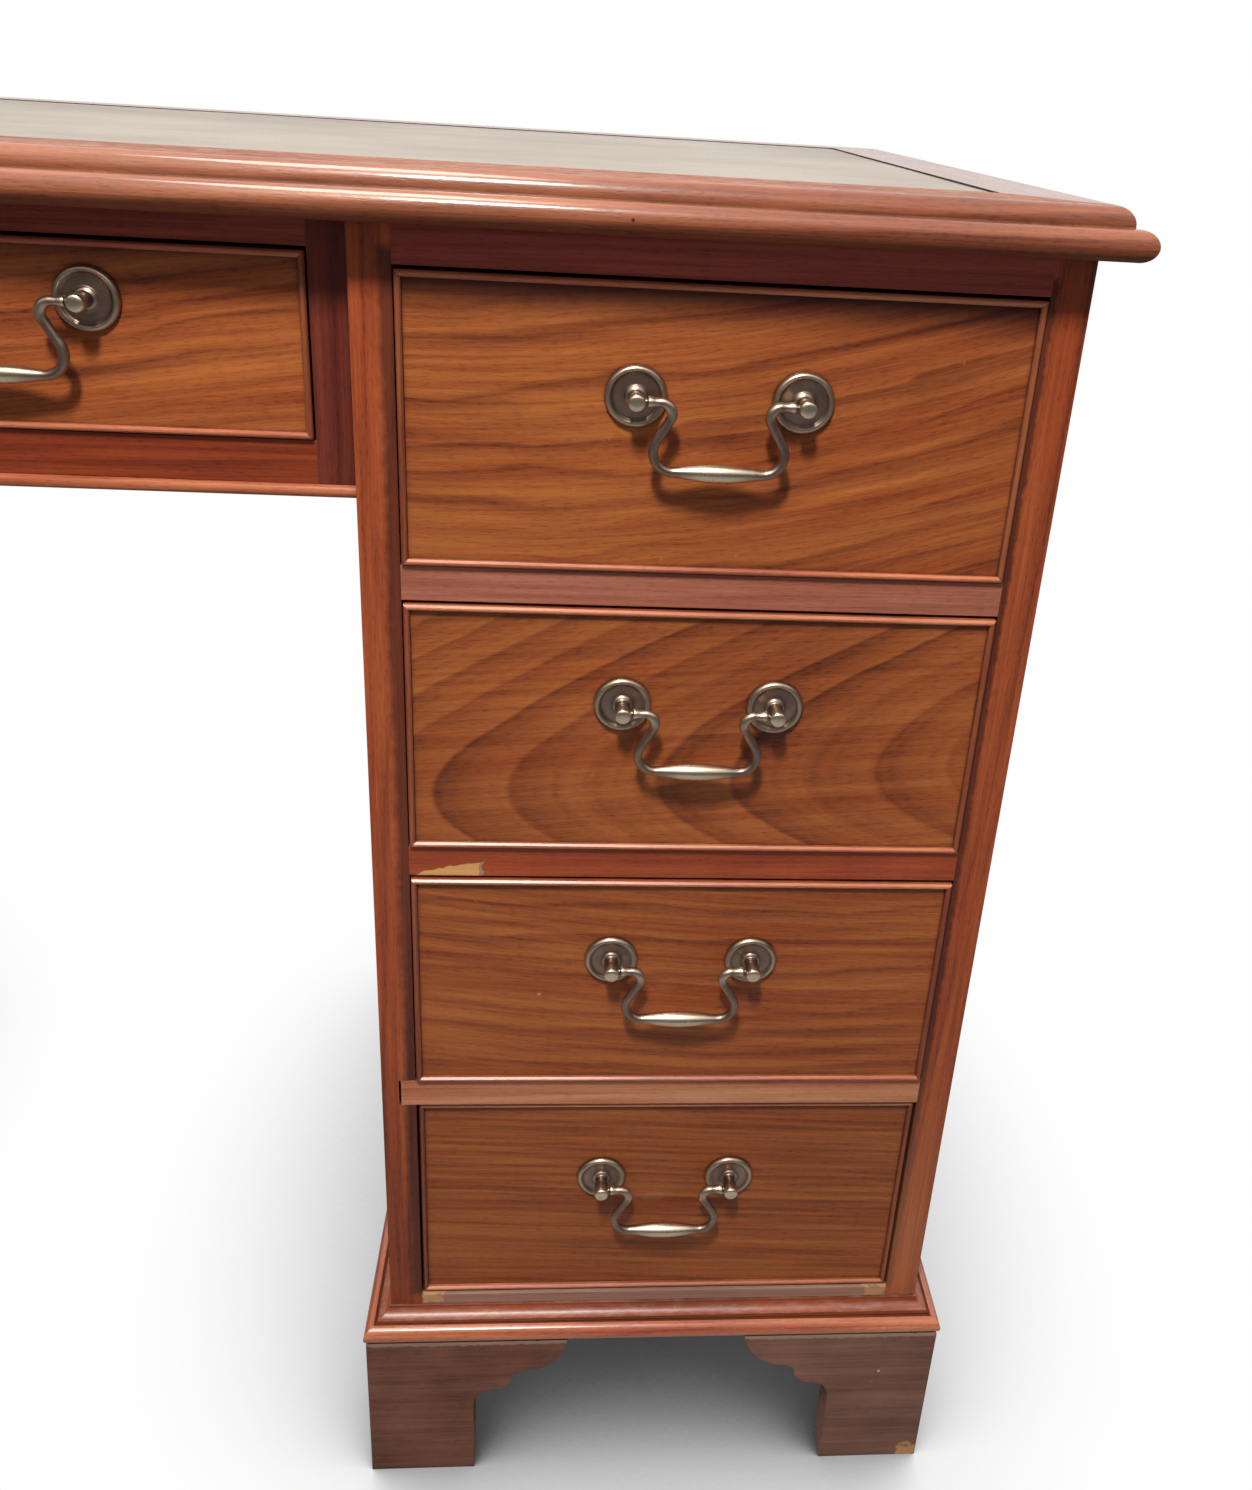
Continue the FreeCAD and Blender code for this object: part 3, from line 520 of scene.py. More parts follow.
def wood(name, vector, three, spacing=0.008, side=-0.3, depth=0.12, taper=0.03, wave=0.006,
         crisp=0.6, figure=0.36, streaks=0.62, rough=0.0, coat=0.12, gloss=0.24, rubbed=0.35,
         grime=0.75, dust=0.0, flecks=0.2, reach=0.007, edge=0.0007, mottle=0.5, blotch=7,
         patches=(), spots=()):
    """A wood, from where its grain runs, its three tones and how it is polished and worn."""
    looks = settings().wood
    pale, mid, dark = three
    material, graph, shader = new_material(name)
    at = graph.place()
    grain = graph.effect("Mahogany Grain", vector=vector(graph), spacing=spacing, pith_side=side,
                         pith_depth=depth, taper=taper, wave=wave, crisp=crisp)
    edges = graph.effect("Rubbed Edge", vector=at, radius=edge)
    polish = graph.effect("Old Polish", vector=at, pores=grain["Pores"], base=looks.polish + rough)
    level = 0.5
    for part, weight in (("Streaks", streaks), ("Rings", figure), ("Pores", PORE_STRENGTH)):
        away = graph.math("SUBTRACT", grain[part], USUAL[part])
        level = graph.math("MULTIPLY_ADD", away, weight, level)
    level = graph.math("MULTIPLY_ADD", graph.swing(at, blotch, 3), mottle, level)
    colour = graph.mix(graph.math("MULTIPLY", level, 2.0), pale, mid)
    colour = graph.mix(graph.math("MULTIPLY_ADD", level, 2.0, -1.0), colour, dark)
    ruddy = graph.math("MULTIPLY", grain["Bands"], graph.noise(at, 11, 3))
    colour = graph.mix(ruddy, colour, RUDDY, "MULTIPLY")
    colour = graph.mix(graph.math("MULTIPLY", edges["Rubbed"], rubbed), colour,
                       lighter(pale, 1.4, 0.015))
    scars = graph.ramp(graph.noise(at, 210, 2), 0.74, 0.82, 0.0, flecks)
    colour = graph.mix(scars, colour, lighter(pale, 1.3, 0.08))
    # Painted shade and grime in corners and gaps, darker where ambient occlusion finds little open air.
    settled = graph.effect("Settled Dirt", vector=at, reach=reach)
    colour = graph.mix(graph.math("MULTIPLY", settled["Dirt"], grime), colour, looks.grime)
    # Dust, together with a painted sheen, on faces that look up.
    if dust:
        colour = graph.mix(graph.math("MULTIPLY", settled["Dust"], dust), colour, looks.dust)
    for patch in patches:
        chip = graph.effect("Veneer Chip", vector=at, low=patch.low, high=patch.high,
                            ragged=patch.ragged, slant=patch.slant, soft=patch.soft)["Chip"]
        fresh = graph.mix(grain["Streaks"], patch.mark, [part * 0.62 for part in patch.mark])
        colour = graph.mix(graph.math("MULTIPLY", chip, patch.cover), colour, fresh)
    for centre, radius, mark in spots:
        spot = graph.effect("Spot", vector=at, centre=centre, radius=radius)["Spot"]
        colour = graph.mix(spot, colour, mark)
    relief = graph.math("MULTIPLY_ADD", grain["Streaks"], 0.25, polish["Lumps"])
    relief = graph.math("MULTIPLY_ADD", grain["Pores"], -0.6, relief)
    bump = graph.add("ShaderNodeBump", {"Strength": 0.35, "Distance": 0.00025, "Height": relief,
                                        "Normal": edges["Normal"]})
    graph.fill(shader, {"Base Color": colour, "Roughness": polish["Roughness"],
                        "Normal": bump.outputs[0], "Specular IOR Level": 0.22,
                        "Coat Weight": coat, "Coat Roughness": gloss})
    return material


def dress(node, *materials, choose=None):
    """Gives a node its materials, by one choice for each face."""
    mesh = NODES[node].data
    mesh.materials.clear()
    for material in materials:
        mesh.materials.append(material)
    if choose:
        for face in mesh.polygons:
            face.material_index = choose(face)


def tones(name, part=1.0, cast=(1.0, 1.0, 1.0)):
    """Palest, middle and late tone of a wood, made darker or paler by a part, with a colour cast."""
    looks = settings().wood
    pale, dark = getattr(looks, f"{name}_pale"), getattr(looks, f"{name}_dark")
    mid = getattr(looks, f"{name}_mid", None) or [(a + b) / 2 for a, b in zip(pale, dark)]
    return [[channel * part * tint for channel, tint in zip(one, cast)] for one in (pale, mid, dark)]


# Meshes

def new_piece(name, build, material, body, smooth=True):
    """Piece made by a mesh function, riding on a body."""
    bm = bmesh.new()
    build(bm)
    bmesh.ops.recalc_face_normals(bm, faces=bm.faces)
    mesh = bpy.data.meshes.new(name)
    bm.to_mesh(mesh)
    bm.free()
    for face in mesh.polygons:
        face.use_smooth = smooth
    mesh.materials.append(material)
    piece = bpy.data.objects.new(name, mesh)
    bpy.context.scene.collection.objects.link(piece)
    if body:
        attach(piece, body)
    return piece


def ring(bm, polish, shine, points):
    """Vertices of one ring, all polished alike."""
    verts = [bm.verts.new(point) for point in points]
    for vert in verts:
        vert[polish] = shine
    return verts


def circle(count):
    """Angles of so many points round a circle."""
    return [2 * math.pi * index / count for index in range(count)]


def turned(centre, radius, depth, count):
    """Points of a circle about a line straight out of the front, at a depth behind its centre."""
    return [(centre[0] + radius * math.cos(turn), centre[1] + depth, centre[2] + radius * math.sin(turn))
            for turn in circle(count)]


def skin(bm, rings):
    """Faces between rings of vertices, with fans at single points."""
    for low, high in zip(rings, rings[1:]):
        count = max(len(low), len(high))
        for index in range(count):
            after = (index + 1) % count
            corners = [low[index % len(low)], low[after % len(low)],
                       high[after % len(high)], high[index % len(high)]]
            corners = list(dict.fromkeys(corners))
            bm.faces.new(corners)


# Radius, height above the drawer and polish of a rosette and its post, in millimetres.
POST_PROFILE = (
    (0.0, 0.0, 0.0), (13.5, 0.0, 0.1), (13.95, 0.35, 0.35), (14.0, 0.9, 0.35), (13.8, 1.7, 0.4),
    (13.2, 2.5, 0.5), (12.4, 2.95, 0.6), (11.7, 2.85, 0.5), (11.1, 2.4, 0.35), (10.7, 1.85, 0.25),
    (10.3, 1.6, 0.15), (9.9, 1.55, 0.2), (9.0, 1.62, 0.3), (7.4, 1.7, 0.3), (5.9, 1.85, 0.2),
    (5.3, 2.0, 0.1), (5.0, 2.2, 0.15), (4.75, 2.65, 0.4), (4.2, 2.95, 0.5), (3.5, 3.2, 0.2),
    (3.2, 3.9, 0.1), (3.15, 5.0, 0.1), (3.2, 6.0, 0.1), (3.4, 6.7, 0.1), (3.65, 7.1, 0.15),
    (3.8, 7.7, 0.2), (3.8, 8.4, 0.2), (3.75, 8.8, 0.2), (3.85, 9.4, 0.3), (4.0, 12.2, 0.5),
    (3.95, 14.2, 0.7), (3.7, 14.9, 0.85), (3.3, 15.3, 0.95), (2.5, 15.6, 1.0),
    (1.3, 15.75, 1.0), (0.0, 15.8, 1.0))
POST_SEGMENTS = 40


def turn_post(bm, polish, foot):
    """Rosette and post, turned about a line straight out of the drawer front."""
    rings = []
    for radius, height, shine in POST_PROFILE:
        count = POST_SEGMENTS if radius else 1
        rings.append(ring(bm, polish, shine, turned(foot, radius * MM, -height * MM, count)))
    skin(bm, rings)


# Pin and collar of a bail: distance inwards from their outer ends, radius and polish, in millimetres.
PIN_PROFILE = ((0.0, 0.5, 0.2), (0.15, 1.2, 0.2), (0.5, 1.6, 0.2), (3.0, 1.6, 0.2), (5.5, 1.6, 0.2))
COLLAR_PROFILE = ((0.0, 1.6, 0.1), (0.12, 2.2, 0.3), (0.4, 2.55, 0.6), (1.0, 2.6, 0.75),
                  (1.9, 2.5, 0.7), (2.9, 2.25, 0.55), (4.0, 2.05, 0.5))
# How far a pin reaches past the middle of its post, and how far within it the collar begins.
PIN_PAST = 1.0 * MM
COLLAR_WITHIN = 4.7 * MM
# Steps round a bend and along half the grip, and how much thicker the wire is in the neck's bend.
BEND_STEPS = 14
GRIP_STEPS = 12
NECK_SWELL = 0.12


def bail_path():
    """Place, heading, radius and polish along the right half of a bail, from pin to middle."""
    brass = settings().brass
    half = brass.centres / 2
    bend = brass.bend
    wire = brass.wire
    path = []
    for end, profile in ((half + PIN_PAST, PIN_PROFILE), (half - COLLAR_WITHIN, COLLAR_PROFILE)):
        path += [((end - inset * MM, 0), 0, radius * MM, shine) for inset, radius, shine in profile]
    neck_start = brass.neck_reach + brass.neck_radius
    for index in range(BEND_STEPS + 1):
        turn = bend * index / BEND_STEPS
        swell = math.sin(math.pi * index / BEND_STEPS)
        path.append(((neck_start - brass.neck_radius * math.sin(turn),
                      brass.neck_radius * (math.cos(turn) - 1)), turn,
                     wire * (1 + NECK_SWELL * swell), 0.28 + 0.35 * swell))
    neck_end = path[-1][0]
    rise = brass.shoulder_radius * (1 - math.cos(bend))
    fall = neck_end[1] + brass.drop - rise
    grip_end = neck_end[0] - fall / math.tan(bend) - brass.shoulder_radius * math.sin(bend)
    shoulder_start = (grip_end + brass.shoulder_radius * math.sin(bend), rise - brass.drop)
    for part in (0.2, 0.4, 0.6, 0.8):
        spot = tuple(a + (b - a) * part for a, b in zip(neck_end, shoulder_start))
        path.append((spot, bend, wire * 0.96, 0.25))
    for index in range(BEND_STEPS + 1):
        turn = bend * (1 - index / BEND_STEPS)
        path.append(((grip_end + brass.shoulder_radius * math.sin(turn),
                      brass.shoulder_radius * (1 - math.cos(turn)) - brass.drop), turn, wire, 0.3))
    for index in range(1, GRIP_STEPS + 1):
        x = grip_end * (1 - index / GRIP_STEPS)
        inside = max(0.0, 1 - (x / brass.grip_half) ** 2)
        swell = inside ** 1.4
        path.append(((x, -brass.drop), 0, wire + (brass.grip - wire) * swell, 0.3 + 0.65 * swell))
    return path


WIRE_SEGMENTS = 20


def bend_bail(bm, polish, pivot):
    """Swan-neck bail: pins, collars, necks and a swelling grip."""
    half = bail_path()
    mirror = [((-spot[0], spot[1]), -turn, radius, shine) for spot, turn, radius, shine in half]
    rings = []
    for spot, turn, radius, shine in half[:-1] + mirror[::-1]:
        middle = pivot + Vector((spot[0], 0, spot[1]))
        outward = Vector((-math.sin(turn), 0, math.cos(turn)))
        offsets = [outward * math.cos(around) + Vector((0, 1, 0)) * math.sin(around)
                   for around in circle(WIRE_SEGMENTS)]
        rings.append(ring(bm, polish, shine, [middle + offset * radius for offset in offsets]))
    skin(bm, rings)
    bm.faces.new(rings[0])
    bm.faces.new(rings[-1])


# Nut on the stem of a post, and how far the stem shows past it.
NUT_RADIUS = 5.2 * MM
NUT_HEIGHT = 3.0 * MM
STEM_RADIUS = 2.0 * MM
STEM_PAST = 2.4 * MM
NUT_SIDES = 6
NUT_POLISH = 0.35


def fit_nut(bm, polish, seat):
    """Six-sided nut with chamfered corners and the stem's end, on the back of a drawer front."""
    stages = ((0.0, NUT_RADIUS), (NUT_HEIGHT * 0.85, NUT_RADIUS), (NUT_HEIGHT, NUT_RADIUS * 0.86),
              (NUT_HEIGHT, STEM_RADIUS), (NUT_HEIGHT + STEM_PAST * 0.8, STEM_RADIUS),
              (NUT_HEIGHT + STEM_PAST, STEM_RADIUS * 0.7))
    rings = [ring(bm, polish, NUT_POLISH, turned(seat, radius, height, NUT_SIDES))
             for height, radius in stages]
    skin(bm, rings)
    bm.faces.new(rings[0])
    bm.faces.new(rings[-1])


def handle_joints(drawer):
    """Hinges of the bails on one drawer."""
    return [joint for joint in frame["joints"]
            if joint["name"].startswith(drawer) and joint["name"].endswith("_hinge")]


# Materials of brass and leather

# Spots on the brass, grime with painted shade in its hollows, and scuffs of the leather.
TARNISH = (0.05, 0.035, 0.028)
BRASS_GRIME_AND_SHADE = (0.035, 0.025, 0.02)
SCUFF = (0.36, 0.32, 0.26)


def brass_finish():
    """Aged brass: rubbed bright where hands and cloths reach, brown in its hollows."""
    looks = settings().brass
    material, graph, shader = new_material("aged_brass")
    at = graph.place()
    polish = graph.add("ShaderNodeAttribute", attribute_name="polish").outputs["Fac"]
    cloud = graph.noise(at, 90, 4, 0.6)
    fine = graph.noise(at, 900, 3)
    worn = graph.math("ADD", polish, graph.math("MULTIPLY", graph.math("SUBTRACT", cloud, 0.5), 0.5))
    worn = graph.ramp(worn, 0.1, 1.05)
    colour = graph.mix(worn, looks.dull, looks.bright)
    spots = graph.ramp(graph.noise(at, 420, 3), 0.62, 0.74)
    colour = graph.mix(graph.math("MULTIPLY", spots, 0.22), colour, TARNISH)
    # Grime and painted shade where ambient occlusion finds the hollows of the brass.
    brass_shade_and_grime = graph.effect("Settled Dirt", vector=at, reach=0.004)["Dirt"]
    colour = graph.mix(graph.math("MULTIPLY", brass_shade_and_grime, 0.6), colour, BRASS_GRIME_AND_SHADE)
    rough = graph.ramp(worn, 0.0, 1.0, 0.38, 0.28)
    rough = graph.math("MULTIPLY_ADD", graph.math("SUBTRACT", fine, 0.5), 0.05, rough)
    bump = graph.add("ShaderNodeBump", {"Strength": 0.1, "Distance": 0.0001, "Height": cloud})
    graph.fill(shader, {"Base Color": colour, "Roughness": rough, "Normal": bump.outputs[0],
                        "Metallic": 1.0, "Coat Weight": 0.5, "Coat Roughness": 0.26})
    return material


def leather_finish():
    """Faded hide: pebbled grain, rubbed patches and faint scuffs."""
    looks = settings().leather
    material, graph, shader = new_material("faded_leather")
    at = graph.place()
    cells = 1.0 / looks.cell
    pebble = graph.add("ShaderNodeTexVoronoi", {"Vector": at, "Scale": cells},
                       feature="SMOOTH_F1").outputs["Distance"]
    crease = graph.ramp(pebble, 0.45, 0.8)
    clouds = graph.noise(at, (6, 9, 6), 4, 0.6)
    scuffs = graph.ramp(graph.noise(at, (40, 130, 8), 3), 0.6, 0.75)
    colour = graph.mix(graph.ramp(clouds, 0.2, 0.8, 0.0, 0.6), looks.pale, looks.dark)
    colour = graph.mix(graph.math("MULTIPLY", crease, 0.5), colour, looks.dark)
    colour = graph.mix(graph.math("MULTIPLY", scuffs, 0.25), colour, SCUFF)
    rough = graph.math("MULTIPLY_ADD", clouds, 0.2, 0.3)
    height = graph.math("MULTIPLY_ADD", crease, -1.0, graph.math("MULTIPLY", clouds, 0.4))
    bump = graph.add("ShaderNodeBump", {"Strength": 0.35, "Distance": 0.0003, "Height": height})
    graph.fill(shader, {"Base Color": colour, "Roughness": rough, "Normal": bump.outputs[0],
                        "Specular IOR Level": 0.4})
    return material


# Operators

# Heights between which the faded rail, the dusty one and the top rails lie.
FADED_RAIL = (0.583, 0.604)
DUSTY_RAIL = (0.281, 0.302)
TOP_RAIL = (0.7345, 0.760)
# Purple cast of the painted shade on the rails and stiles under the top.
MAROON = (1.0, 0.92, 1.7)
# Width and heights of the dark old polish beside the drawers, on the left and on the right stile.
STAIN_WIDTH = {"left": 0.0092, "right": 0.0045}
STAIN_HEIGHTS = (0.134, 0.746)
# Height to which the foot of a stile is darkened or paled, how softly that fades, and how far past
# the stile it is laid, so that it fades upwards alone.
STILE_FOOT = 0.36
STILE_FOOT_FADE = 0.22
STILE_FOOT_PAST = 0.3
# Tones of the left and right stiles and cast of the apron, against the carcass.
STILE_TONE = {"left": 1.16, "right": 1.06}
APRON_CAST = (1.0, 0.78, 0.78)
# Steps after which the grain of the rails begins anew.
SHELVES = (10.0, 10.0, 0.15)
# Heights of the dust and of the chips on the bottom rail, of the chip in the rail under the second
# drawer, and of the dust at that chip's end.
BOTTOM_DUST = (0.124, 0.139)
INNER_CHIP = (0.1300, 0.1365)
OUTER_CHIP = (0.1306, 0.1365)
RAIL_CHIP = (0.4335, 0.4418)
CHIP_DUST = (0.4345, 0.4418)


class DESK_OT_carcass(bpy.types.Operator):
    """Polish the pedestals and the frame over the kneehole, and finish the boards inside"""
    bl_idname = "desk.carcass"
    bl_label = "Finish Carcass"

    def execute(self, context):
        for number, side in enumerate(SIDES):
            for place in SIDES:
                node = f"{side}_pedestal_{place}_side"
                dress(node, wood(node, straight("Z"), tones("frame", part=STILE_TONE[place]),
                                 spacing=0.007, side=-0.22, depth=0.1 + 0.06 * number, wave=0.008,
                                 patches=self.stains(node, place)))
            tight = {"spacing": 0.006, "wave": 0.004, "rubbed": 0.6}
            # The rails' upward faces take dust and a painted sheen.
            red = wood(f"{side}_rails", straight("X", SHELVES), tones("rail"), dust=0.5,
                       patches=self.chips() if side == "right" else (), **tight)
            faded = wood(f"{side}_faded_rail", straight("X"), tones("faded"), coat=0.2, **tight)
            dusty = wood(f"{side}_dusty_rail", straight("X"), tones("dusty"), coat=0.1, **tight)
            # Top rail darker and purple: painted shade under the top's overhang.
            shaded = wood(f"{side}_top_rail", straight("X"),
                          tones("rail", part=1.05, cast=MAROON), **tight)
            dress(f"{side}_pedestal_rails", red, faded, dusty, shaded, choose=self.rail_finish)
        apron = wood("kneehole_apron", straight("X"), tones("frame", part=0.76, cast=APRON_CAST),
                     spacing=0.006, wave=0.004)
        # Top rail over the kneehole darker and purple: painted shade under the top.
        shaded = wood("kneehole_top_rail", straight("X"), tones("frame", cast=MAROON), spacing=0.006)
        dress("kneehole_rails", apron, shaded, choose=lambda face: int(face.center.z > TOP_RAIL[0]))
        # Kneehole stiles much darker and purple: painted shade under the top.
        dress("kneehole_stiles", wood("kneehole_stiles", straight("Z"),
                                      tones("frame", part=0.5, cast=MAROON), spacing=0.006))
        dress("kneehole_apron_bead", wood("kneehole_apron_bead", straight("X"), tones("bead"),
                                          spacing=0.006, edge=0.0012))
        plain = {"rough": 0.32, "coat": 0.0, "rubbed": 0.1, "spacing": 0.009}
        for node, axis in (("kneehole_carcass", "X"), ("pedestal_backs", "Z"),
                           ("pedestal_bottoms", "X"), ("drawer_runners", "Y"),
                           ("drawer_stops", "X"), ("foot_glue_blocks", "Z")):
            dress(node, wood(node, straight(axis), tones("deal"), **plain))
        return {"FINISHED"}

    @staticmethod
    def rail_finish(face):
        """Faded under the first drawer, dusty under the third, maroon with painted shade at the top,
        else red.
        """
        for number, (low, high) in enumerate((FADED_RAIL, DUSTY_RAIL, TOP_RAIL), 1):
            if low < face.center.z < high:
                return number
        return 0

    @staticmethod
    def stains(node, place):
        """Old dark polish along the drawers, and the foot of a stile: darker left, paler right."""
        looks = settings().wood
        low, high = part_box(node)
        edge = high.x if place == "left" else low.x
        width = STAIN_WIDTH[place]
        foot, cover = (looks.stain_and_shade, 0.4) if place == "left" else (looks.bead_pale, 0.5)
        beside = Patch(Vector((edge - width, low.y - MARK_PAST, STAIN_HEIGHTS[0])),
                       Vector((edge + width, low.y + MARK_PAST, STAIN_HEIGHTS[1])),
                       looks.stain_and_shade, 0.75, ragged=0.004, soft=width * 0.65)
        past = STILE_FOOT_PAST
        below = Patch(Vector((low.x - past, low.y - past, -past)),
                      Vector((high.x + past, low.y + past, STILE_FOOT)),
                      foot, cover, ragged=0.004, soft=STILE_FOOT_FADE)
        return [beside, below]

    @staticmethod
    def chips():
        """Dust and missing veneer on the rails of the right pedestal."""
        looks = settings().wood
        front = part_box("right_pedestal_rails")[0].y
        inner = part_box("right_pedestal_left_side")[1].x
        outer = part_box("right_pedestal_right_side")[0].x

        def mark(left, right, heights, colour, cover, **edge):
            low, high = heights
            return Patch(Vector((left, front - MM, low)), Vector((right, front + 3 * MM, high)),
                         colour, cover, **edge)

        return [mark(inner - MM, outer + MM, BOTTOM_DUST, looks.dust, 0.75),
                mark(inner + 30 * MM, inner + 37.5 * MM, CHIP_DUST, looks.dust, 1.0, ragged=0.007),
                mark(inner + 2 * MM, inner + 35.5 * MM, RAIL_CHIP, looks.bare, 1.0, ragged=0.003,
                     slant=0.066),
                mark(inner - MM, inner + 14 * MM, INNER_CHIP, looks.bare, 0.6, ragged=0.012),
                mark(outer - 15 * MM, outer + MM, OUTER_CHIP, looks.bare, 0.6, ragged=0.012)]


# Heights between which the groove of the plinth moulding lies, and casts of its torus, paler partly as a
# painted highlight, and of its hollow.
PLINTH_GROOVE = (0.12195, 0.1230)
TORUS_CAST = (1.0, 1.08, 1.12)
HOLLOW_CAST = (1.0, 0.94, 0.9)
# Depth of the dust along the upper edge of the feet.
FOOT_DUST = 2.2 * MM
# Chip off the outer corner of the right foot: its width, depth and height.
FOOT_CHIP = Vector((14 * MM, 20 * MM, 11 * MM))
# Nick in that foot: place across, height and radius.
FOOT_NICK = (0.5747, 0.0788, 0.0011)
# Place, from the middle of the feet, where the right one begins to be paler.
HAZE_START = 30 * MM


class DESK_OT_base(bpy.types.Operator):
    """Polish the plinth mouldings and darken the bracket feet"""
    bl_idname = "desk.base"
    bl_label = "Finish Plinths and Feet"

    def execute(self, context):
        for side in SIDES:
            self.plinth(f"{side}_plinth_moulding")
            self.feet(f"{side}_bracket_feet")
        return {"FINISHED"}

    @staticmethod
    def grain(node):
        """Grain along the moulding or the brackets, mitred at their corners."""
        low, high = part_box(node)
        return mitred((low.x + high.x) / 2, (high.x - low.x) / 2, -low.y)

    def plinth(self, node):
        """Paler red torus, partly a painted highlight, darker hollow, and the groove between them
        darkened with painted shade and grime.
        """
        finish = {"spacing": 0.006, "rubbed": 0.5, "edge": 0.001, "coat": 1.0, "gloss": 0.22,
                  "grime": 1.0, "reach": 0.005, "flecks": 0.6}
        grain = self.grain(node)
        # Torus paler and whiter than the bead wood: partly a painted highlight along it.
        torus = wood(f"{node}_torus", grain, tones("bead", part=1.22, cast=TORUS_CAST), **finish)
        # The hollow's upward faces take dust and a painted sheen in place of its greyish highlights.
        hollow = wood(f"{node}_hollow", grain, tones("frame", part=0.95, cast=HOLLOW_CAST), dust=0.35,
                      **{**finish, "gloss": 0.34})
        # Groove nearly black: painted shade and grime in the quirk.
        groove = wood(f"{node}_groove", grain, tones("frame", part=0.4), rubbed=0.0, coat=0.0)

        def choose(face):
            height = face.center.z
            if PLINTH_GROOVE[0] < height < PLINTH_GROOVE[1]:
                return 2
            return 0 if height < PLINTH_GROOVE[0] else 1

        dress(node, torus, hollow, groove, choose=choose)

    def feet(self, node):
        """Dull brackets, mottled, with dust along their upper edge."""
        looks = settings().wood
        low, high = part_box(node)
        patches = [Patch(Vector((low.x - MARK_PAST, low.y - MARK_PAST, high.z - FOOT_DUST)),
                         high + Vector((MARK_PAST, MARK_PAST, MM)), looks.dust, 0.8, ragged=0.004)]
        spots = ()
        if node == "right_bracket_feet":
            chip = Patch(Vector((high.x - FOOT_CHIP.x, low.y - MARK_PAST, low.z - MARK_PAST)),
                         Vector((high.x + MARK_PAST, low.y + FOOT_CHIP.y, low.z + FOOT_CHIP.z)),
                         looks.bare, 0.7, ragged=0.02, soft=0.003)
            start = (low.x + high.x) / 2 + HAZE_START
            haze = Patch(Vector((start, low.y - HAZE_PAST, low.z - HAZE_PAST)),
                         Vector((high.x + HAZE_PAST, low.y + HAZE_PAST, high.z + HAZE_PAST)),
                         looks.dust, 0.16, ragged=0.02, soft=0.05)
            patches += [chip, haze]
            x, z, radius = FOOT_NICK
            spots = ((Vector((x, low.y, z)), radius, looks.bare),)
        dress(node, wood(node, self.grain(node), tones("foot"),
                         spacing=0.006, rubbed=0.5, edge=0.001, coat=0.05, rough=0.16, figure=0.2,
                         flecks=0.7, mottle=1.2, blotch=24, patches=patches, spots=spots))


# A nail hole, painted as a dark spot of grime and shade, and a plug in the nose of the top: place along
# it, height and radius; the nose's paler, bluer cast, partly a painted sheen.
NAIL_HOLE = (0.3916, 0.7609, 0.0014)
PLUG = (0.1907, 0.762, 0.0019)
NOSE_CAST = (1.0, 1.16, 1.4)
# Columns and rows of the leather's mesh, the width of its rounded edge and how far that falls.
LEATHER_MESH = (180, 68)
LEATHER_EDGE = 1.6 * MM
LEATHER_FALL = 0.4 * MM
# Slow waves of the leather: radians to the metre across and along, and their start.
LEATHER_WAVES = ((9.1, 5.3, 0.0), (21.7, -13.1, 1.3), (3.7, 31.0, 0.4))
# Slopes past which a face looks down, up or out of the front.
LOOKS_DOWN = -0.1
LOOKS_UP = 0.99
LOOKS_OUT = -0.9


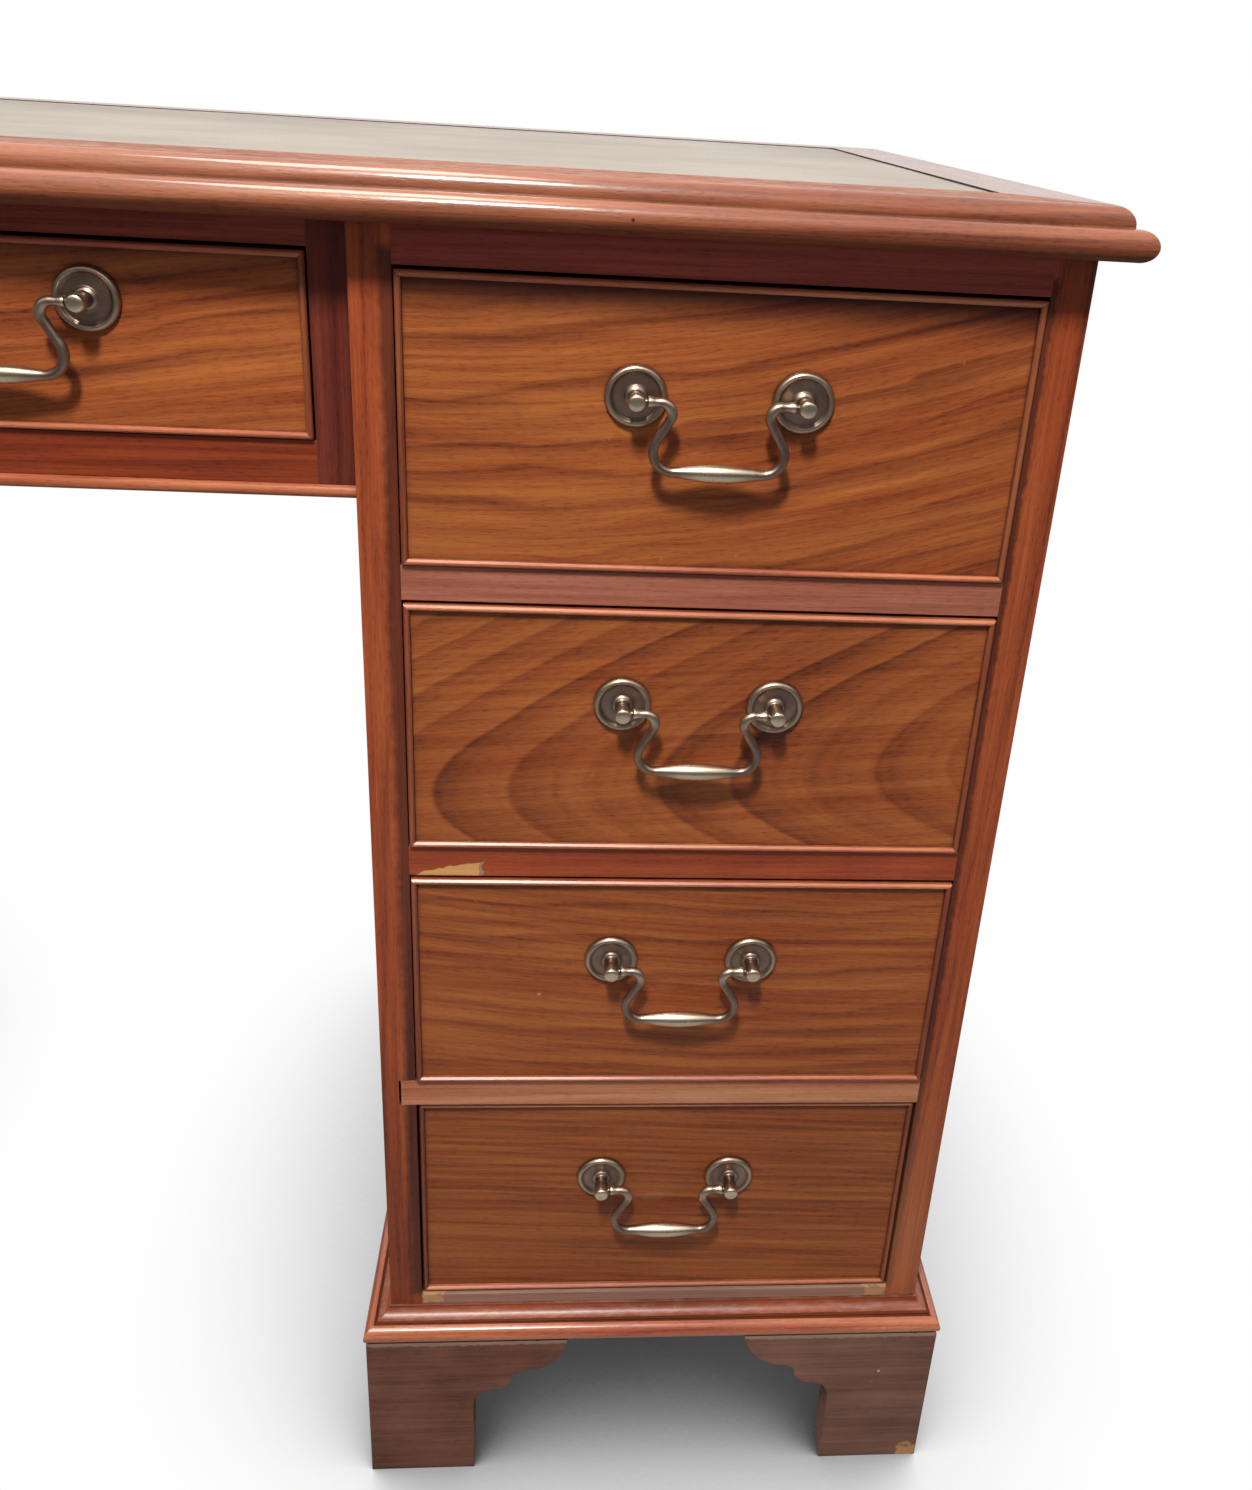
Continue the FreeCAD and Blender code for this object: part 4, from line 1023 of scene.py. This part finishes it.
class DESK_OT_top(bpy.types.Operator):
    """Polish the moulded border of the top and lay the leather in it"""
    bl_idname = "desk.top"
    bl_label = "Finish Top"

    def execute(self, context):
        self.border()
        dress("top_panel", wood("top_panel", straight("X"), tones("deal"), rough=0.32, coat=0.0))
        self.leather()
        return {"FINISHED"}

    @staticmethod
    def border():
        """Glossy moulding, worn front strip with dust and a painted sheen, glossy side strips, underside
        darkened as painted shade, and recess walls darkened as painted shade.
        """
        looks = settings().wood
        low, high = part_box("top_border")
        spots = [(Vector((x, low.y + MM, z)), radius, mark)
                 for (x, z, radius), mark in ((NAIL_HOLE, looks.grime), (PLUG, looks.foot_pale))]
        grain = mitred(0.0, high.x, high.y)
        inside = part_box("leather_inset")[1] + Vector((MM, MM, 0))
        shared = {"spacing": 0.007, "rubbed": 0.45, "edge": 0.001, "streaks": 0.45, "flecks": 0.4}
        moulding = wood("border_moulding", grain, tones("top", part=0.98, cast=NOSE_CAST),
                        rough=-0.06, coat=0.9, gloss=0.13, spots=spots, **shared)
        # Front strip: dust and a painted sheen on its top, in place of its pale grazing reflection.
        worn = wood("border_front", grain, tones("top", part=0.82), coat=0.0, rough=0.16, dust=0.6,
                    **shared)
        # Walls of the leather's recess, very dark: painted shade in the gap beside the leather.
        recess_shade = wood("border_seam", grain, tones("top", part=0.3), coat=0.0, rough=0.3)
        # Faces that look down, darker and without coat: painted shade under the moulding.
        under = wood("border_underside", grain, tones("top", part=0.72), coat=0.0, rough=0.2, **shared)
        bright = wood("border_sides", grain, tones("top", part=0.68), coat=0.7, gloss=0.18, **shared)

        def choose(face):
            if abs(face.center.x) < inside.x and abs(face.center.y) < inside.y:
                return 4
            if face.normal.z < LOOKS_DOWN:
                return 3
            if face.normal.z < LOOKS_UP or face.center.z < high.z - MM:
                return 0
            on_front = face.center.y < 0 and high.y + face.center.y < high.x - abs(face.center.x)
            return 1 if on_front else 2

        dress("top_border", moulding, worn, bright, under, recess_shade, choose=choose)

    @staticmethod
    def leather():
        """Sheet of leather, slightly wavy, with rounded edges, in the recess of the border."""
        low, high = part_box("leather_inset")
        rise = settings().leather.waviness
        columns, rows = LEATHER_MESH

        def lay(bm):
            top, bottom = [], []
            for row in range(rows + 1):
                for column in range(columns + 1):
                    x = low.x + (high.x - low.x) * column / columns
                    y = low.y + (high.y - low.y) * row / rows
                    near = min(x - low.x, high.x - x, y - low.y, high.y - y)
                    fall = LEATHER_FALL * max(0.0, 1 - near / LEATHER_EDGE)
                    waves = [math.sin(x * a + y * b + start) for a, b, start in LEATHER_WAVES]
                    z = high.z - rise * (0.5 - 0.5 * sum(waves) / len(waves)) - fall
                    top.append(bm.verts.new((x, y, z)))
                    bottom.append(bm.verts.new((x, y, low.z)))
            across = columns + 1
            for row in range(rows):
                for column in range(columns):
                    first = row * across + column
                    corners = (first, first + 1, first + 1 + across, first + across)
                    bm.faces.new([top[index] for index in corners])
                    bm.faces.new([bottom[index] for index in reversed(corners)])
            rim = list(range(columns)) + [columns + row * across for row in range(rows)]
            rim += [rows * across + column for column in range(columns, 0, -1)]
            rim += [row * across for row in range(rows, 0, -1)]
            for first, second in zip(rim, rim[1:] + rim[:1]):
                bm.faces.new((top[first], bottom[first], bottom[second], top[second]))

        leather = new_piece("writing_leather", lay, leather_finish(), "carcass")
        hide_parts("leather_inset")


# Grain of a drawer front: its lean in degrees and its bow, the spacing, pith and taper of the growth
# rings, how they wave, how crisp they are, and the strength of the rings and of the fine streaks.
Figure = namedtuple("Figure", "lean bow spacing side depth taper wave crisp figure streaks")
FIGURES = {
    "right_drawer_1": Figure(9.0, 0.6, 0.0120, -0.180, 0.050, 0.02, 0.018, 0.70, 0.46, 0.52),
    "right_drawer_2": Figure(5.0, 0.0, 0.0140, -0.026, 0.0473, 0.38, 0.004, 0.90, 0.36, 0.42),
    "right_drawer_3": Figure(-4.0, 0.3, 0.0100, -0.120, 0.060, 0.05, 0.014, 0.65, 0.42, 0.50),
    "right_drawer_4": Figure(-3.0, 0.0, 0.0055, -0.400, 0.100, 0.01, 0.006, 0.55, 0.36, 0.55),
    "left_drawer_1": Figure(-7.0, 0.5, 0.0120, -0.150, 0.050, 0.03, 0.018, 0.70, 0.46, 0.52),
    "left_drawer_2": Figure(-6.0, 0.0, 0.0140, 0.018, 0.034, -0.36, 0.004, 0.90, 0.50, 0.36),
    "left_drawer_3": Figure(5.0, -0.2, 0.0100, -0.130, 0.060, -0.05, 0.014, 0.65, 0.42, 0.50),
    "left_drawer_4": Figure(2.0, 0.0, 0.0055, -0.380, 0.110, 0.01, 0.006, 0.55, 0.36, 0.55),
    "kneehole_drawer": Figure(8.0, 0.0, 0.0100, -0.160, 0.060, 0.02, 0.014, 0.65, 0.44, 0.55),
}
# Tones of the lowest fronts, darker as painted shade towards the floor, and of the long one, paler as
# painted light against the top's shadow, by the last character of their names.
FRONT_TONE = {"4": 0.9, "r": 1.12}
# Depth and cover of the painted shadow of the top's overhang along the upper edge of the first fronts,
# and of the painted shade and dirt under the beads of the others.
FIRST_SHADE = (0.024, 0.85)
OTHER_SHADE = (0.010, 0.5)
# A fleck of paint on one front: place across, height and radius.
FLECK = (0.359, 0.3592, 0.0009)
# Cock beads: their width, how far they stand proud, how deep they sit, and the paler, whiter cast of the
# level ones, partly a painted highlight.
BEAD_WIDTH = 3.2 * MM
BEAD_PROUD = 2.5 * MM
BEAD_SEAT = 7.7 * MM
BEAD_CAST = (1.0, 1.12, 1.2)


class DESK_OT_drawer_fronts(bpy.types.Operator):
    """Polish the figured drawer fronts and their cock beads"""
    bl_idname = "desk.drawer_fronts"
    bl_label = "Finish Drawer Fronts"

    def execute(self, context):
        looks = settings().wood
        # Upright beads darker than the level ones: painted shade, as they catch little of the light from
        # above.
        upright = wood("cock_bead_upright", straight("Z"), tones("bead", part=0.62), spacing=0.004,
                       edge=0.0012, coat=0.5, gloss=0.34)
        # Level beads paler and whiter: a painted highlight along their tops.
        level = wood("cock_bead_level", straight("X"), tones("bead", part=1.2, cast=BEAD_CAST),
                     spacing=0.004, edge=0.0012, coat=0.9, gloss=0.3)
        inside = wood("front_inside", straight("X"), tones("frame"), rough=0.3, coat=0.0)
        for drawer in DRAWERS:
            low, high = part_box(f"{drawer}_front")
            face_y = low.y + BEAD_PROUD
            centre = Vector(((low.x + high.x) / 2, face_y, (low.z + high.z) / 2))
            cut = FIGURES[drawer]
            spots = ()
            if drawer == "right_drawer_3":
                x, z, radius = FLECK
                spots = ((Vector((x, face_y, z)), radius, looks.dust),)
            # Painted shade along the upper edge of each front: the top's shadow on the first ones, shade
            # and dirt under the bead on the others.
            dim, cover = FIRST_SHADE if drawer.endswith("_1") else OTHER_SHADE
            above = Patch(Vector((low.x - HAZE_PAST, low.y - HAZE_PAST, high.z - dim)),
                          high + Vector((HAZE_PAST, HAZE_PAST, HAZE_PAST)),
                          looks.stain_and_shade, cover, ragged=0.004, soft=dim * 0.9)
            veneer = wood(f"{drawer}_veneer", leaning(centre, cut.lean, cut.bow),
                          tones("front", part=FRONT_TONE.get(drawer[-1], 1.0)), patches=[above],
                          **{name: getattr(cut, name) for name in Figure._fields[2:]},
                          rubbed=0.1, grime=0.8, reach=0.0045, spots=spots)

            def choose(face, low=low, high=high, face_y=face_y):
                spot = face.center
                if spot.y > face_y + BEAD_SEAT:
                    return 3
                if min(spot.x - low.x, high.x - spot.x) < BEAD_WIDTH:
                    return 1
                if min(spot.z - low.z, high.z - spot.z) < BEAD_WIDTH:
                    return 2
                return 0 if face.normal.y < LOOKS_OUT and spot.y < face_y + MM else 3

            dress(f"{drawer}_front", veneer, upright, level, inside, choose=choose)
        return {"FINISHED"}


# Distance from the outside of a drawer box within which its wood is that of the sides.
SIDE_WOOD = 12 * MM


class DESK_OT_drawer_boxes(bpy.types.Operator):
    """Finish the dovetailed drawer boxes"""
    bl_idname = "desk.drawer_boxes"
    bl_label = "Finish Drawer Boxes"

    def execute(self, context):
        lining = tones("lining")
        plain = {"rough": 0.28, "coat": 0.0, "rubbed": 0.2, "spacing": 0.006, "figure": 0.3}
        lengthways = wood("drawer_side", straight("Y"), lining, **plain)
        crossways = wood("drawer_back_and_bottom", straight("X"), lining, **plain)
        for drawer in DRAWERS:
            low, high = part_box(f"{drawer}_box")

            def choose(face, low=low, high=high):
                return 0 if min(face.center.x - low.x, high.x - face.center.x) < SIDE_WOOD else 1

            dress(f"{drawer}_box", lengthways, crossways, choose=choose)
        return {"FINISHED"}


class DESK_OT_posts(bpy.types.Operator):
    """Turn the rosettes and posts, and fit their nuts inside the drawers"""
    bl_idname = "desk.posts"
    bl_label = "Make Handle Posts"

    def execute(self, context):
        brass = settings().brass
        finish = bpy.data.materials.get("aged_brass") or brass_finish()
        for drawer in DRAWERS:
            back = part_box(f"{drawer}_front")[1].y
            pivots = [Vector(joint["pos_m"]) for joint in handle_joints(drawer)]
            if not pivots:
                raise RuntimeError(f"{drawer} has no handle in the frame")
            feet = [pivot + Vector((sign * brass.centres / 2, brass.standoff, 0))
                    for pivot in pivots for sign in (-1, 1)]

            def posts(bm, feet=feet):
                polish = bm.verts.layers.float.new("polish")
                for foot in feet:
                    turn_post(bm, polish, foot)

            def nuts(bm, feet=feet, back=back):
                polish = bm.verts.layers.float.new("polish")
                for foot in feet:
                    fit_nut(bm, polish, (foot.x, back, foot.z))

            made = new_piece(f"{drawer}_rosettes", posts, finish, drawer)
            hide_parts(f"{drawer}_handle_posts")
            new_piece(f"{drawer}_post_nuts", nuts, finish, drawer, smooth=False)
        return {"FINISHED"}


class DESK_OT_bails(bpy.types.Operator):
    """Bend the swan-neck bails"""
    bl_idname = "desk.bails"
    bl_label = "Make Bails"

    def execute(self, context):
        finish = bpy.data.materials.get("aged_brass") or brass_finish()
        for drawer in DRAWERS:
            for joint in handle_joints(drawer):
                node = joint["name"].removesuffix("_hinge")
                pivot = Vector(joint["pos_m"])

                def bail(bm, pivot=pivot):
                    bend_bail(bm, bm.verts.layers.float.new("polish"), pivot)

                made = new_piece(f"{node}_swan_neck", bail, finish, joint["child"])
                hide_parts(node)
        return {"FINISHED"}


# Place, target and width and height of each lamp's panel.
KEY_LIGHT = ((0.22, -1.06, 1.88), (0.43, -0.24, 0.6), (0.14, 0.22))
OVERHEAD_LIGHT = ((0.02, -0.36, 2.3), (0.2, -0.3, 0.0), (0.6, 0.5))
BACK_LIGHT = ((0.3, 1.9, 1.6), (0.0, 0.2, 0.45), (1.0, 0.8))
# Greys of the floor, how far it reaches, and the height up to which things cast the painted shadow on
# it.
FLOOR_DARK = (0.36, 0.36, 0.36)
FLOOR_PALE = (0.4, 0.4, 0.4)
FLOOR_REACH = 9.0
SHADE_HEIGHT = 0.33
# Frame, focal length and optical middle of the photograph, in its pixels.
FRAME = (1252, 1490)
FOCAL = 1269.393
MIDDLE = (683.549, 619.813)
# Slopes between which the surroundings brighten, behind the desk and above it.
BEHIND = (-0.2, 0.35)
ABOVE = (0.2, 0.75)


class DESK_OT_stage(bpy.types.Operator):
    """Set the floor, the soft light and the camera"""
    bl_idname = "desk.stage"
    bl_label = "Set Stage"

    def execute(self, context):
        stage = settings().stage
        scene = context.scene
        scene.view_settings.view_transform = "Standard"
        self.floor()
        self.world(scene, stage)
        self.lamp("key_light", *KEY_LIGHT, stage.key)
        self.lamp("overhead_light", *OVERHEAD_LIGHT, stage.overhead)
        back = self.lamp("back_light", *BACK_LIGHT, stage.rear)
        back.visible_glossy = False
        self.camera(scene, stage)
        return {"FINISHED"}

    def floor(self):
        """Pale floor, glowing white to the camera, with a painted shadow where little air is open above
        it.
        """
        material, graph, shader = new_material("pale_floor")
        mottle = graph.noise(graph.place(), 3, 3)
        graph.fill(shader, {"Base Color": graph.mix(mottle, FLOOR_DARK, FLOOR_PALE),
                            "Roughness": 0.8, "Specular IOR Level": 0.1})
        open_air = graph.add("ShaderNodeAmbientOcclusion", {"Distance": SHADE_HEIGHT}, samples=32)
        # Glow darkened by ambient occlusion: the painted shadow of the desk on the floor.
        glow_with_painted_shadow = graph.ramp(open_air.outputs["AO"], 0.22, 0.94, 0.05, 1.0)
        glow = graph.add("ShaderNodeEmission", {"Color": (1.0, 1.0, 1.0), "Strength": glow_with_painted_shadow})
        seen = graph.add("ShaderNodeLightPath").outputs["Is Camera Ray"]
        both = graph.add("ShaderNodeMixShader", {0: seen, 1: shader.outputs[0], 2: glow.outputs[0]})
        graph.feed(material.node_tree.nodes["Material Output"].inputs["Surface"], both.outputs[0])

        def spread(bm):
            corners = ((-1, -1), (1, -1), (1, 1), (-1, 1))
            bm.faces.new([bm.verts.new((x * FLOOR_REACH, y * FLOOR_REACH, 0)) for x, y in corners])

        new_piece("studio_floor", spread, material, None, smooth=False)

    def world(self, scene, stage):
        """White surroundings, brighter behind and above the desk than in front of it."""
        world = bpy.data.worlds.new("studio")
        scene.world = world
        world.use_nodes = True
        graph = Graph(world.node_tree)
        backdrop = world.node_tree.nodes["Background"]
        rays = graph.add("ShaderNodeLightPath").outputs
        mirrored = graph.math("MAXIMUM", rays["Is Glossy Ray"], rays["Is Transmission Ray"])
        heading = graph.split(graph.add("ShaderNodeTexCoord").outputs["Generated"])
        behind = graph.ramp(heading[1], *BEHIND, 0.1, 1.0)
        above = graph.ramp(heading[2], *ABOVE, 0.0, 1.0)
        level = graph.add("ShaderNodeMix", {0: mirrored, 2: stage.ambient,
                                            3: graph.math("MAXIMUM", behind, above)}).outputs[0]
        level = graph.add("ShaderNodeMix", {0: rays["Is Camera Ray"], 2: level, 3: 1.0}).outputs[0]
        plain = graph.math("MAXIMUM", mirrored, rays["Is Camera Ray"])
        graph.fill(backdrop, {"Color": graph.mix(plain, stage.fill_tone, (1.0, 1.0, 1.0)),
                              "Strength": level})

    def lamp(self, name, place, target, size, power):
        """Soft light from a panel of the given width and height."""
        light = bpy.data.lights.new(name, "AREA")
        light.shape = "RECTANGLE"
        light.size, light.size_y = size
        light.energy = power
        light.color = settings().stage.key_tone
        lamp = bpy.data.objects.new(name, light)
        bpy.context.scene.collection.objects.link(lamp)
        lamp.location = place
        lamp.rotation_euler = (Vector(target) - Vector(place)).to_track_quat("-Z", "Y").to_euler()
        return lamp

    def camera(self, scene, stage):
        """Camera where the photograph was taken."""
        width, height = FRAME
        forward = Vector((math.sin(stage.yaw) * math.cos(stage.pitch),
                          math.cos(stage.yaw) * math.cos(stage.pitch), -math.sin(stage.pitch)))
        right = Vector((math.cos(stage.yaw), -math.sin(stage.yaw), 0))
        down = forward.cross(right)
        across = right * math.cos(stage.roll) - down * math.sin(stage.roll)
        up = -(right * math.sin(stage.roll) + down * math.cos(stage.roll))
        data = bpy.data.cameras.new("camera")
        data.sensor_width = 36.0
        data.lens = data.sensor_width * FOCAL / height
        data.shift_x = (width / 2 - MIDDLE[0]) / height
        data.shift_y = (MIDDLE[1] - height / 2) / height
        data.clip_start = 0.01
        camera = bpy.data.objects.new("camera", data)
        scene.collection.objects.link(camera)
        turn = Matrix((across, up, -forward)).transposed().to_4x4()
        camera.matrix_world = Matrix.Translation(Vector(stage.camera_place)) @ turn
        scene.camera = camera


class DESK_PT_finish(bpy.types.Panel):
    """Steps and settings of the desk's finish"""
    bl_idname = "DESK_PT_finish"
    bl_label = "Kneehole Desk"
    bl_space_type = "VIEW_3D"
    bl_region_type = "UI"
    bl_category = "Kneehole Desk"

    def draw(self, context):
        desk = context.scene.kneehole_desk
        for step in STEPS:
            self.layout.operator(step.bl_idname)
        for group in (desk.wood, desk.leather, desk.brass, desk.stage):
            box = self.layout.box()
            for name in group.__annotations__:
                box.prop(group, name)


STEPS = (DESK_OT_carcass, DESK_OT_base, DESK_OT_top, DESK_OT_drawer_fronts, DESK_OT_drawer_boxes,
         DESK_OT_posts, DESK_OT_bails, DESK_OT_stage)
CLASSES = (DeskWood, DeskLeather, DeskBrass, DeskStage, DeskSettings, *STEPS, DESK_PT_finish)


def register():
    """Adds the classes and the settings."""
    for made in CLASSES:
        bpy.utils.register_class(made)
    bpy.types.Scene.kneehole_desk = PointerProperty(type=DeskSettings)


def unregister():
    """Takes the settings and the classes away."""
    del bpy.types.Scene.kneehole_desk
    for made in reversed(CLASSES):
        bpy.utils.unregister_class(made)


def main():
    """Makes every piece."""
    register()
    for step in STEPS:
        family, name = step.bl_idname.split(".")
        getattr(getattr(bpy.ops, family), name)()


if __name__ == "__main__":
    main()
